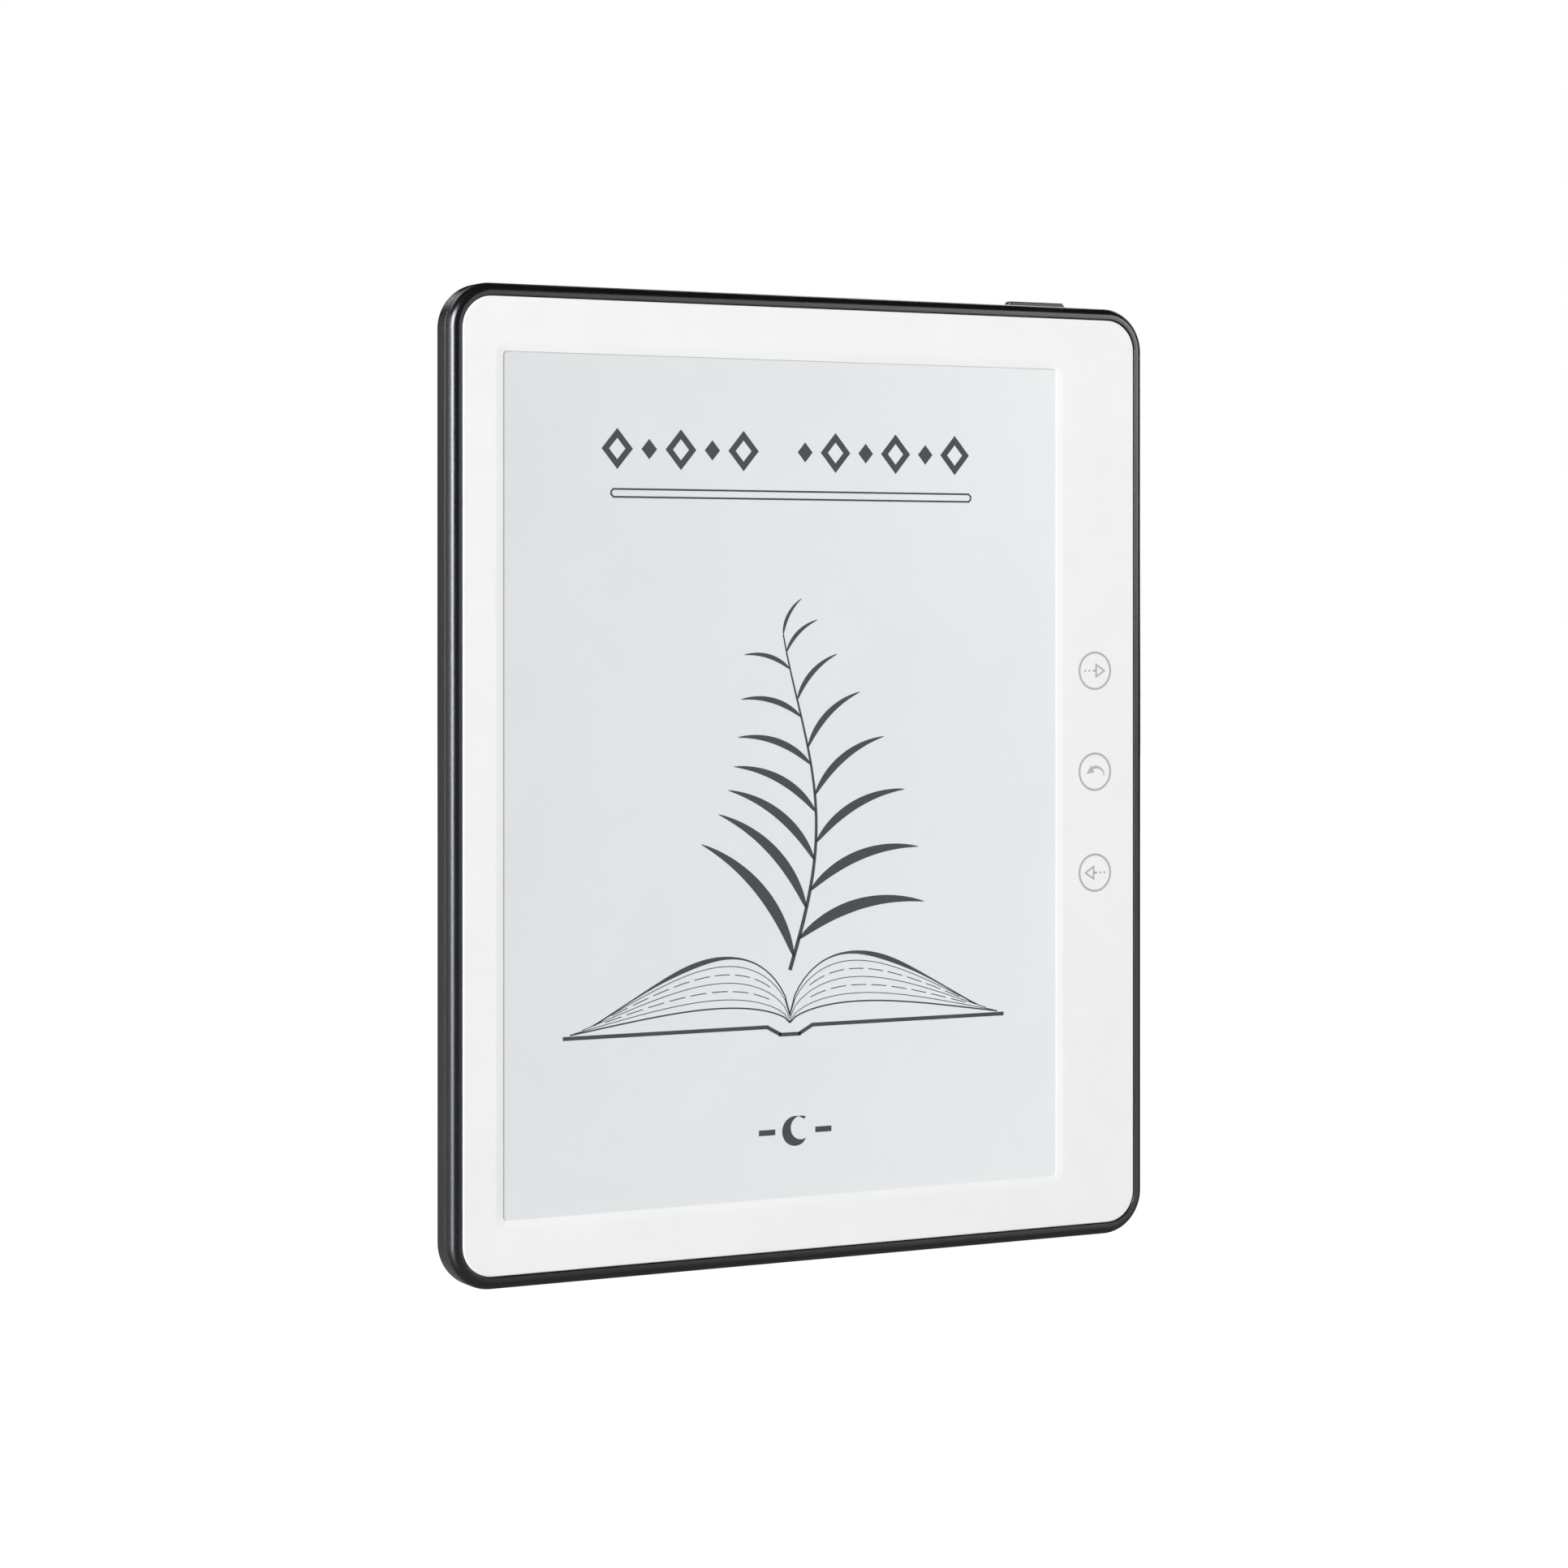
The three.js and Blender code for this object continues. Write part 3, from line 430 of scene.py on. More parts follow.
def white_plastic():
    return moulded("white_plastic", grey(0.84), grey(0.82), 0.5, 0.35 * MM, 0.0012 * MM)


def charcoal_plastic():
    light, dark = (0.0058, 0.0062, 0.0068, 1), (0.0044, 0.0046, 0.005, 1)
    cool = (0.93, 0.96, 1.0)
    return moulded("charcoal_plastic", light, dark, 0.2, 0.16 * MM, 0.008 * MM, specular=0.8, tint=cool)


def ink_paper():
    """The screen's matt sheet: the fine speckle of ink capsules, soft clouds, and a painted light gradient
    that makes the white a little lighter towards the lower right."""
    shader = Shader("ink_paper")
    speckle = shader.noise(0.14 * MM, detail=3.0, roughness=0.8)
    clouds = shader.noise(26 * MM, detail=2.0)
    axes = shader.node("ShaderNodeSeparateXYZ")
    shader.link(shader.place, axes.inputs["Vector"])
    # Painted light: the white grows lighter towards the right and towards the bottom of the screen.
    painted_light_across = shader.spread(axes.outputs["X"], 0, 0.5, SCREEN.left, SCREEN.right)
    painted_light_down = shader.spread(axes.outputs["Z"], 0.42, 0, SCREEN.bottom, SCREEN.top)
    fine = shader.spread(speckle, 0, 0.14, 0.3, 0.7)
    grain = shader.math("ADD", fine, shader.spread(clouds, 0, 0.12, 0.3, 0.7))
    share = shader.math("ADD", shader.math("ADD", painted_light_across, painted_light_down), grain)
    shader.colour(shader.blend(share, (0.635, 0.658, 0.667, 1), (0.775, 0.795, 0.803, 1)))
    shader.rough(shader.spread(speckle, 0.25, 0.33))
    shader.set(specular_ior_level=0.75)
    shader.bump(speckle, 0.004 * MM)
    return shader.material


def ink(name, tone):
    """Dried ink with a slightly uneven cover."""
    shader = Shader(name)
    cover = shader.noise(0.25 * MM, detail=3.0)
    light = tuple(value * 1.12 for value in tone) + (1.0,)
    dark = tuple(value * 0.9 for value in tone) + (1.0,)
    shader.colour(shader.blend(shader.spread(cover, 0, 1, 0.3, 0.7), dark, light))
    shader.rough(shader.spread(cover, 0.5, 0.65))
    shader.set(specular_ior_level=0.3)
    shader.bump(cover, 0.003 * MM)
    return shader.material


def dull_metal(name, tone, roughness, stretch, metallic=1.0):
    """Sheet metal with faint rolling lines along the axes that stretch leaves long."""
    shader = Shader(name)
    lines = shader.noise(0.3 * MM, detail=4.0, place=shader.stretched(stretch))
    stains = shader.noise(14 * MM, detail=3.0)
    shader.colour(shader.blend(shader.spread(stains, 0, 1, 0.3, 0.7), grey(tone * 0.9), grey(tone)))
    shader.rough(shader.math("ADD", shader.spread(lines, -0.07, 0.07), roughness))
    shader.set(metallic=metallic)
    shader.bump(lines, 0.002 * MM)
    return shader.material


def circuit_board():
    """Solder mask over copper tracks, with pads in a loose grid."""
    shader = Shader("circuit_board")
    bricks = shader.node("ShaderNodeTexBrick", offset=0.5)
    bricks.inputs["Scale"].default_value = 1 / (2.2 * MM)
    bricks.inputs["Mortar Size"].default_value = 0.06
    bricks.inputs["Brick Width"].default_value = 1.3
    bricks.inputs["Row Height"].default_value = 0.45
    turn = shader.node("ShaderNodeMapping")
    turn.inputs["Rotation"].default_value = (math.radians(90), 0, 0)
    shader.link(shader.place, turn.inputs["Vector"])
    shader.link(turn.outputs["Vector"], bricks.inputs["Vector"])
    tracks = bricks.outputs["Fac"]
    pads = shader.math("LESS_THAN", shader.cells(3.1 * MM), 0.16)
    mask = shader.blend(tracks, (0.008, 0.07, 0.035, 1), (0.02, 0.13, 0.065, 1))
    shader.colour(shader.blend(pads, mask, (0.62, 0.6, 0.52, 1)))
    shader.rough(shader.spread(shader.noise(1.2 * MM), 0.3, 0.45))
    shader.bump(tracks, 0.02 * MM)
    return shader.material


def soft_sheet(name, tone, cell, height, roughness=0.9):
    """Foam or tape: open cells or a fine weave in a dark sheet."""
    shader = Shader(name)
    holes = shader.cells(cell)
    shader.colour(shader.blend(shader.spread(holes, 0, 1, 0, 0.8), grey(tone * 0.6), grey(tone)))
    shader.rough(shader.spread(shader.noise(cell * 3), roughness - 0.1, min(roughness + 0.05, 1)))
    shader.bump(holes, height)
    return shader.material


def amber_flex():
    """Amber film over copper tracks that run along the flex."""
    shader = Shader("amber_flex")
    wave = shader.node("ShaderNodeTexWave", bands_direction="X")
    wave.inputs["Scale"].default_value = 1 / (4 * MM)
    wave.inputs["Distortion"].default_value = 0.2
    shader.link(shader.place, wave.inputs["Vector"])
    tracks = shader.spread(wave.outputs["Fac"], 0, 1, 0.35, 0.6)
    shader.colour(shader.blend(tracks, (0.33, 0.12, 0.018, 1), (0.55, 0.27, 0.06, 1)))
    shader.rough(shader.spread(shader.noise(2 * MM), 0.28, 0.42))
    shader.bump(tracks, 0.01 * MM)
    return shader.material


def foil_pouch():
    """The cell's laminated foil, slightly crumpled."""
    shader = Shader("foil_pouch")
    creases = shader.noise(7 * MM, detail=6.0, roughness=0.6)
    lightness = shader.spread(creases, 0, 1, 0.35, 0.65)
    shader.colour(shader.blend(lightness, (0.495, 0.5, 0.505, 1), (0.6138, 0.62, 0.6262, 1)))
    shader.rough(shader.spread(shader.noise(1.5 * MM), 0.3, 0.45))
    shader.set(metallic=0.85)
    shader.bump(creases, 0.25 * MM)
    return shader.material


def dark_glass():
    shader = Shader("display_glass")
    cast = shader.noise(18 * MM, detail=2.0)
    shader.colour(shader.blend(cast, (0.06, 0.085, 0.08, 1), (0.1, 0.13, 0.12, 1)))
    shader.rough(shader.spread(shader.noise(3 * MM), 0.06, 0.14))
    shader.bump(cast, 0.002 * MM)
    return shader.material


def frosted_rod():
    shader = Shader("frosted_rod")
    haze = shader.noise(0.6 * MM)
    shader.colour(shader.blend(haze, (0.72, 0.76, 0.78, 1), (0.86, 0.9, 0.92, 1)))
    shader.rough(shader.spread(haze, 0.2, 0.35))
    shader.set(transmission_weight=0.5)
    shader.bump(haze, 0.003 * MM)
    return shader.material


CREAM = ((0.66, 0.6, 0.47, 1), (0.58, 0.52, 0.4, 1))
RED = ((0.42, 0.02, 0.015, 1), (0.33, 0.015, 0.01, 1))
LAMP = ((0.86, 0.84, 0.68, 1), (0.78, 0.74, 0.55, 1))

WHITE_PLASTIC = white_plastic()
CHARCOAL_PLASTIC = charcoal_plastic()
INK_PAPER = ink_paper()
PAGE_INK = ink("page_ink", (0.056, 0.064, 0.072))
KEY_INK = ink("key_ink", (0.42, 0.43, 0.44))

MATERIAL_OF_SLOT = {
    "white_plastic": WHITE_PLASTIC,
    "dark_plastic": CHARCOAL_PLASTIC,
    "ink_film": INK_PAPER,
    "display_glass": dark_glass(),
    "foam": soft_sheet("foam", 0.03, 0.25 * MM, 0.05 * MM),
    "tape": soft_sheet("tape", 0.022, 0.5 * MM, 0.01 * MM, 0.7),
    "alloy": dull_metal("alloy", 0.55, 0.42, (1, 1, 0.1), 0.95),
    "steel": dull_metal("steel", 0.62, 0.3, (0.1, 1, 1)),
    "circuit_board": circuit_board(),
    "chip_black": moulded("chip_black", grey(0.02), grey(0.014), 0.5, 0.12 * MM, 0.004 * MM),
    "connector_plastic": moulded("connector_cream", *CREAM, 0.5, 0.3 * MM, 0.004 * MM),
    "latch_plastic": moulded("latch_black", grey(0.025), grey(0.018), 0.5, 0.2 * MM, 0.004 * MM),
    "flex": amber_flex(),
    "cell_pouch": foil_pouch(),
    "wire_red": moulded("wire_red", *RED, 0.45, 0.3 * MM, 0.003 * MM),
    "wire_black": moulded("wire_black", grey(0.02), grey(0.014), 0.45, 0.3 * MM, 0.003 * MM),
    "clear_plastic": frosted_rod(),
    "led": moulded("lamp", *LAMP, 0.35, 0.3 * MM, 0.003 * MM),
}


def finish_cad_nodes():
    """Gives each carried-over CAD node the material of its slot."""
    for subpart in frame["record"]["subparts"]:
        material = MATERIAL_OF_SLOT[subpart["material_slot"]]
        mesh = nodes[subpart["node"]].data
        mesh.materials.clear()
        mesh.materials.append(material)


# ---- Case ----

BODY_OUTLINE = rounded(BODY, BODY_CORNER)
PANEL_OUTLINE = rounded(PANEL, PANEL_CORNER)
SCREEN_OUTLINE = rounded(SCREEN, WINDOW_CORNER)
POCKET_OUTLINE = rounded(grown(MODULE, POCKET_GAP), POCKET_GAP)
SEAT_OUTLINE = rounded(grown(PANEL, PANEL_GAP), PANEL_CORNER + PANEL_GAP)
LEDGE_OUTLINE = rounded(grown(PANEL, PANEL_GAP - LEDGE_WIDTH), PANEL_CORNER + PANEL_GAP - LEDGE_WIDTH)


def level_ring(first, first_inset, second, second_inset, depth, back):
    """The flat face between two outlines at one depth."""
    return [
        Station(first, first_inset, depth, 0.0, back),
        Station(second, second_inset, depth, 0.0, back),
    ]


def front_panel():
    """The white panel: a bevelled window with softened edges, a rounded rim and a pocket for the display."""
    slope = math.degrees(math.atan2(BEVEL_DEPTH, BEVEL_WIDTH))
    reach = BEVEL_SOFTNESS * math.tan(math.radians(slope / 2))
    stations = straight(SCREEN_OUTLINE, (0, LIP), (0, BEVEL_DEPTH))
    rise = math.radians(slope)
    top = (reach * math.cos(rise) - BEVEL_WIDTH, reach * math.sin(rise))
    stations += straight(SCREEN_OUTLINE, (0, BEVEL_DEPTH), top)
    centre = (-BEVEL_WIDTH - reach, BEVEL_SOFTNESS)
    stations += arc(SCREEN_OUTLINE, centre, BEVEL_SOFTNESS, -90 - slope, -90)
    stations += level_ring(SCREEN_OUTLINE, centre[0], PANEL_OUTLINE, PANEL_EDGE, 0, -1.0)
    stations += arc(PANEL_OUTLINE, (PANEL_EDGE, PANEL_EDGE), PANEL_EDGE, -90, 0, 8)
    stations += straight(PANEL_OUTLINE, (0, PANEL_EDGE), (0, PANEL_THICKNESS))
    stations += level_ring(PANEL_OUTLINE, 0, POCKET_OUTLINE, 0, PANEL_THICKNESS, 1.0)
    stations += straight(POCKET_OUTLINE, (0, PANEL_THICKNESS), (0, LIP))
    stations += level_ring(POCKET_OUTLINE, 0, SCREEN_OUTLINE, 0, LIP, 1.0)
    mesh = skin("front_panel", stations)
    add_piece("front_panel", mesh, WHITE_PLASTIC, ["front_bezel"])


def front_rim():
    """The dark rim: a soft inner edge, a rounded front and a ledge that carries the panel."""
    stations = straight(LEDGE_OUTLINE, (0, PARTING), (0, LEDGE_FRONT))
    stations += level_ring(LEDGE_OUTLINE, 0, SEAT_OUTLINE, 0, LEDGE_FRONT, -1.0)
    stations += straight(SEAT_OUTLINE, (0, LEDGE_FRONT), (0, INNER_EDGE))
    stations += arc(SEAT_OUTLINE, (-INNER_EDGE, INNER_EDGE), INNER_EDGE, -180, -90, 10)
    stations += level_ring(SEAT_OUTLINE, -INNER_EDGE, BODY_OUTLINE, FRONT_FILLET, 0, -1.0)
    stations += arc(BODY_OUTLINE, (FRONT_FILLET, FRONT_FILLET), FRONT_FILLET, -90, 0, FILLET_STEPS)
    stations += straight(BODY_OUTLINE, (0, FRONT_FILLET), (0, PARTING - SOFT_EDGE))
    stations += arc(BODY_OUTLINE, (SOFT_EDGE, PARTING - SOFT_EDGE), SOFT_EDGE, 0, 90)
    stations += level_ring(BODY_OUTLINE, SOFT_EDGE, LEDGE_OUTLINE, 0, PARTING, 1.0)
    mesh = skin("front_rim", stations)
    add_piece("front_rim", mesh, CHARCOAL_PLASTIC, ["front_frame"])


SHELL_FRONT = PARTING + SEAM


def rear_blank():
    """The rear shell before its openings are cut."""
    inner_fillet = BACK_FILLET - WALL
    floor = BODY_DEPTH - BACK_WALL
    inner = (WALL + inner_fillet, floor - inner_fillet)
    outer = (BACK_FILLET, BODY_DEPTH - BACK_FILLET)
    stations = arc(BODY_OUTLINE, inner, inner_fillet, 90, 0, FILLET_STEPS, hollow=True)
    stations += straight(BODY_OUTLINE, (WALL, inner[1]), (WALL, SHELL_FRONT))
    stations += straight(BODY_OUTLINE, (WALL, SHELL_FRONT), (SOFT_EDGE, SHELL_FRONT))
    stations += arc(BODY_OUTLINE, (SOFT_EDGE, SHELL_FRONT + SOFT_EDGE), SOFT_EDGE, -90, 0)
    stations += straight(BODY_OUTLINE, (0, SHELL_FRONT + SOFT_EDGE), (0, outer[1]))
    stations += arc(BODY_OUTLINE, outer, BACK_FILLET, 0, 90, 2 * FILLET_STEPS)
    return skin("rear_shell", stations, capped=True)


def fillet_rise(depth):
    """How far the bottom edge has curved up at a depth, where the back fillet rounds it."""
    past = min(max(depth - (BODY_DEPTH - BACK_FILLET), 0.0), BACK_FILLET)
    return BACK_FILLET - math.sqrt(BACK_FILLET**2 - past**2)


PORT_Y = FRONT_Y + 4.3 * MM
MOUTH_EDGE = 0.25 * MM
CUT_OVERRUN = 1 * MM


def port_rect(x, width, depth, y=PORT_Y):
    """A level rectangle about a place, in Y and X as a standing solid has it."""
    return Rect(y - depth / 2, y + depth / 2, x - width / 2, x + width / 2)


def port_tool(name, rect, radius):
    """What is cut out for an opening in the bottom edge, with a rounded mouth."""
    outline = rounded(rect, radius)
    inner = 2 * WALL
    stations = straight(outline, (-MOUTH_EDGE, -CUT_OVERRUN), (-MOUTH_EDGE, FINE_EDGE / 10))
    centre = (-MOUTH_EDGE, MOUTH_EDGE + FINE_EDGE / 10)
    stations += arc(outline, centre, MOUTH_EDGE, -90, -180, hollow=True)
    stations += straight(outline, (0, centre[1]), (0, inner))
    return skin(name, stations, True, SMALL_CORNER_STEPS, STANDING, fillet_rise)


BUTTON = rect_of("power_button")
BUTTON_X = middle_x("power_button")
BUTTON_LENGTH = 13.9 * MM
BUTTON_FRONT = FRONT_Y + 2.9 * MM
BUTTON_BACK = FRONT_Y + 5.0 * MM
SLOT_GAP = 0.2 * MM


def slot_tool():
    """What is cut out for the power button, open towards the rim."""
    rect = Rect(
        FRONT_Y + SHELL_FRONT - CUT_OVERRUN,
        BUTTON_BACK + SLOT_GAP,
        BUTTON_X - BUTTON_LENGTH / 2 - SLOT_GAP,
        BUTTON_X + BUTTON_LENGTH / 2 + SLOT_GAP,
    )
    outline = rounded(rect, 0.6 * MM)
    stations = straight(outline, (0, BODY.top - 2 * WALL), (0, BODY.top + CUT_OVERRUN))
    return skin("slot_tool", stations, True, SMALL_CORNER_STEPS, STANDING)


PIPE_Y = (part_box("light_pipe")[0].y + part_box("light_pipe")[1].y) / 2
# Each opening in the bottom edge: the node behind it, its width, depth and corner radius, and its place.
PORTS = [
    ("usb_tongue", 8.3 * MM, 3.2 * MM, 0.5 * MM, PORT_Y),
    ("card_slot", 12.2 * MM, 1.5 * MM, 0.35 * MM, PORT_Y),
    ("reset_plunger", 1.0 * MM, 1.0 * MM, 0.499 * MM, PORT_Y),
    ("light_pipe", 1.6 * MM, 1.6 * MM, 0.799 * MM, PIPE_Y),
]


def rear_shell():
    tools = [slot_tool()]
    for node, width, depth, corner, y in PORTS:
        rect = port_rect(middle_x(node), width, depth, y)
        tools.append(port_tool(f"{node}_tool", rect, corner))
    mesh = carve(rear_blank(), tools)
    add_piece("rear_shell", mesh, CHARCOAL_PLASTIC, ["rear_cover"])


CAP_SLOPE = 0.6 * MM  # how far each end of the cap leans in
CAP_EDGE = 0.22 * MM
CAP_CORNER = 0.55 * MM
CAP_FACING = (0.98, 0.2)  # the cap's ends face outwards and a little up
FLANGE_PLAY = 0.25 * MM  # between the flange and the wall above it
FLANGE_TOP = BODY.top - WALL - FLANGE_PLAY
FLANGE_THICKNESS = 0.9 * MM
FOOT_LENGTH = 2.4 * MM
FOOT_DEPTH = 1.2 * MM
FOOT_OVERLAP = 0.2 * MM  # how far the foot reaches into the flange


def button_part(name, rect, corner, bottom, top):
    """A straight block of the button, from one height to another."""
    stations = straight(rounded(rect, corner), (0, bottom), (0, top))
    return skin(name, stations, True, SMALL_CORNER_STEPS, STANDING)


def power_key():
    """The cap with sloping ends and soft edges, on its flange and foot."""
    base = Rect(BUTTON_FRONT, BUTTON_BACK, BUTTON_X - BUTTON_LENGTH / 2, BUTTON_X + BUTTON_LENGTH / 2)
    crown = Rect(BUTTON_FRONT, BUTTON_BACK, base.bottom + CAP_SLOPE, base.top - CAP_SLOPE)
    cap_base, cap_crown = rounded(base, CAP_CORNER), rounded(crown, CAP_CORNER)
    shoulder = BUTTON.top - CAP_EDGE
    stations = straight(cap_base, (0, FLANGE_TOP - 0.1 * MM), (0, BODY.top))
    stations += [Station(cap_base, 0, BODY.top, *CAP_FACING), Station(cap_crown, 0, shoulder, *CAP_FACING)]
    stations += arc(cap_crown, (CAP_EDGE, shoulder), CAP_EDGE, 0, 90)
    cap = skin("cap", stations, True, SMALL_CORNER_STEPS, STANDING)
    flange_rect = Rect(BUTTON_FRONT - 0.1 * MM, BUTTON_BACK + 0.5 * MM, BUTTON.left, BUTTON.right)
    flange_bottom = FLANGE_TOP - FLANGE_THICKNESS
    flange = button_part("flange", flange_rect, 0.3 * MM, flange_bottom, FLANGE_TOP)
    foot_rect = port_rect(BUTTON_X, FOOT_LENGTH, FOOT_DEPTH)
    foot = button_part("foot", foot_rect, 0.2 * MM, BUTTON.bottom, flange_bottom + FOOT_OVERLAP)
    mesh = joined("power_key", [cap, flange, foot])
    add_piece("power_key", mesh, CHARCOAL_PLASTIC, ["power_button"], "power_button")


# ---- Screen and print ----


def ink_screen():
    outline = rounded(rect_of("screen_film"), 0.5 * MM)
    stations = arc(outline, (FINE_EDGE, FILM_FRONT + FINE_EDGE), FINE_EDGE, -90, 0)
    stations += straight(outline, (0, FILM_FRONT + FINE_EDGE), (0, FILM_BACK))
    mesh = skin("ink_screen", stations, True, SMALL_CORNER_STEPS)
    add_piece("ink_screen", mesh, INK_PAPER, ["screen_film"])


PRINT_THICKNESS = 0.012 * MM
SHARPEST_MITRE = 0.3


class Print:
    """Flat ink shapes at one depth, built as thin closed solids in one mesh."""

    def __init__(self, depth):
        self.front = FRONT_Y + depth - PRINT_THICKNESS
        self.back = FRONT_Y + depth + PRINT_THICKNESS / 4
        self.points = []
        self.faces = []

    def fill(self, outline):
        """A filled shape inside an anticlockwise outline of (x, z) points."""
        count = len(outline)
        first = len(self.points)
        self.points += [(x, self.front, z) for x, z in outline]
        self.points += [(x, self.back, z) for x, z in outline]
        self.faces.append(list(range(first, first + count)))
        self.faces.append(list(range(first + 2 * count - 1, first + count - 1, -1)))
        for i in range(count):
            j = (i + 1) % count
            self.faces.append((first + i, first + count + i, first + count + j, first + j))

    def band(self, left, right, closed=False):
        """A strip between two lines of points with right on the right-hand side of the way along."""
        count = len(left)
        first = len(self.points)
        for line, y in ((left, self.front), (right, self.front), (left, self.back), (right, self.back)):
            self.points += [(x, y, z) for x, z in line]
        for i in range(count if closed else count - 1):
            j = (i + 1) % count
            a, b = first + i, first + j
            self.faces.append((a, a + count, b + count, b))
            self.faces.append((a + 2 * count, b + 2 * count, b + 3 * count, a + 3 * count))
            self.faces.append((a, b, b + 2 * count, a + 2 * count))
            self.faces.append((a + count, a + 3 * count, b + 3 * count, b + count))
        if not closed:
            for end in (first, first + count - 1):
                quad = (end, end + 2 * count, end + 3 * count, end + count)
                self.faces.append(quad if end == first else quad[::-1])

    def stroke(self, line, widths, closed=False):
        """A line of (x, z) points drawn with a pen whose width is one number or one for each point."""
        count = len(line)
        if not isinstance(widths, list):
            widths = [widths] * count
        left, right = [], []
        for i, point in enumerate(line):
            ways = []
            if closed or i:
                ways.append(edge_direction(line[i - 1], point))
            if closed or i + 1 < count:
                ways.append(edge_direction(point, line[(i + 1) % count]))
            (first_x, first_z), (last_x, last_z) = ways[0], ways[-1]
            share = widths[i] / 2 / max(1 + first_x * last_x + first_z * last_z, SHARPEST_MITRE)
            out_x, out_z = share * (first_x + last_x), share * (first_z + last_z)
            left.append((point[0] - out_x, point[1] - out_z))
            right.append((point[0] + out_x, point[1] + out_z))
        self.band(left, right, closed)

    def piece(self, name, material, slot):
        mesh = bpy.data.meshes.new(name)
        mesh.from_pydata(self.points, [], self.faces)
        add_piece(name, mesh, material)


def circle(x, z, radius, sides=96, start=0.0, sweep=360.0):
    """Points of an arc, start and sweep in degrees, anticlockwise."""
    count = sides if sweep == 360.0 else sides + 1
    turns = [math.radians(start + sweep * i / sides) for i in range(count)]
    return [(x + radius * math.cos(turn), z + radius * math.sin(turn)) for turn in turns]


KEY_X = middle_x("key_latch")
KEY_MIDDLE = (BODY.bottom + BODY.top) / 2
KEY_SPACING = 20.4 * MM
KEY_RADIUS = 3.9 * MM
KEY_LINE = 0.45 * MM
ICON_LINE = 0.42 * MM


def key_print(name, step, draw):
    """A ring with an icon, printed on the panel over a touch key."""
    z = KEY_MIDDLE + step * KEY_SPACING
    print_ = Print(0.0)
    print_.stroke(circle(KEY_X, z, KEY_RADIUS - KEY_LINE / 2), KEY_LINE, closed=True)
    draw(print_, KEY_X, z)
    print_.piece(name, KEY_INK, "white_plastic")


def page_arrow(side):
    """Draws a hollow arrow head with a dashed stem; side is 1 to point right and -1 to point left."""

    def draw(print_, x, z):
        def at(u, v):
            return x + side * u * MM, z + v * MM

        def dash(start, end):
            print_.stroke([at(start, 0), at(end, 0)], ICON_LINE)

        dash(-2.5, -2.08)
        dash(-1.5, -1.12)
        dash(-0.52, 0.2)
        head = [at(0.3, 1.22), at(0.3, -1.22), at(2.25, 0)]
        print_.stroke(head, ICON_LINE * 0.9, closed=True)

    return draw


def return_arrow(print_, x, z):
    """Draws a solid head that points down to the left, with an arc that tapers away from it."""
    steps = 32
    line = circle(x + 0.35 * MM, z - 0.95 * MM, 1.88 * MM, steps, 6.0, 114.0)
    widths = [ICON_LINE * (0.5 + 1.1 * i / steps) for i in range(steps + 1)]
    print_.stroke(line, widths)
    head = ((-0.96, 1.2), (-2.03, -0.4), (-0.1, -0.18))
    print_.fill([(x + u * MM, z + v * MM) for u, v in head])


def key_prints():
    key_print("key_print_next", 1, page_arrow(1))
    key_print("key_print_return", 0, return_arrow)
    key_print("key_print_back", -1, page_arrow(-1))


# The page is an example of the builder's own. It is laid out from the middle of the screen.
PAGE_X = (SCREEN.left + SCREEN.right) / 2
PAGE_Z = (SCREEN.bottom + SCREEN.top) / 2
PAGE_PRINT_DEPTH = FILM_FRONT
HEADING_Z = PAGE_Z + 63.3 * MM
RULE_Z = PAGE_Z + 54.9 * MM
BOOK_Z = PAGE_Z - 48 * MM
SIGN_Z = PAGE_Z - 68.2 * MM
SIGN_X = PAGE_X + 1.2 * MM  # the rule and the sleep sign stand a little right of the middle

LOZENGE_HALF_HEIGHT = 3.9 * MM
LOZENGE_HALF_WIDTH = 3.3 * MM
LOZENGE_PITCH = 6.75 * MM
LOZENGE_HOLE = 0.52  # the hollow's share of the whole lozenge's size


def heading_ornament():
    """Two runs of lozenges, hollow and solid in turn, with one place left empty between them."""
    drawing = Print(PAGE_PRINT_DEPTH)
    z = HEADING_Z
    places = [number + 0.5 for number in range(-6, 6) if number != -1]
    for number, place in enumerate(places):
        x = PAGE_X + place * LOZENGE_PITCH
        hollow = number % 2 == 0
        scale = 1.0 if hollow else 0.5
        corners = [
            (x + scale * LOZENGE_HALF_WIDTH, z),
            (x, z + scale * LOZENGE_HALF_HEIGHT),
            (x - scale * LOZENGE_HALF_WIDTH, z),
            (x, z - scale * LOZENGE_HALF_HEIGHT),
        ]
        if hollow:
            inner = [(x + (u - x) * LOZENGE_HOLE, z + (v - z) * LOZENGE_HOLE) for u, v in corners]
            drawing.band(inner, corners, closed=True)
        else:
            drawing.fill(corners)
    drawing.piece("page_ornament", PAGE_INK, "ink_film")


RULE_LINE = 0.36 * MM


def double_rule():
    """A narrow bar with clipped ends, drawn in outline."""
    drawing = Print(PAGE_PRINT_DEPTH)
    half_width, half_height, clip = 39.6 * MM, 0.75 * MM, 0.45 * MM
    corners = [
        (half_width, clip - half_height),
        (half_width, half_height - clip),
        (half_width - clip, half_height),
        (clip - half_width, half_height),
        (-half_width, half_height - clip),
        (-half_width, clip - half_height),
        (clip - half_width, -half_height),
        (half_width - clip, -half_height),
    ]
    drawing.stroke([(SIGN_X + u, RULE_Z + v) for u, v in corners], RULE_LINE, closed=True)
    drawing.piece("page_rule", PAGE_INK, "ink_film")


LINE_STEPS = 40
LEAF_STEPS = 28
LEAF_PAIRS = 7


def stem_point(share):
    """The stem in a slow double bend, from the book's spine at share 0 to its tip at 1."""
    return PAGE_X + (5 * math.sin(3.9 * share) + 2 * share) * MM, PAGE_Z + (-37 + 65 * share) * MM


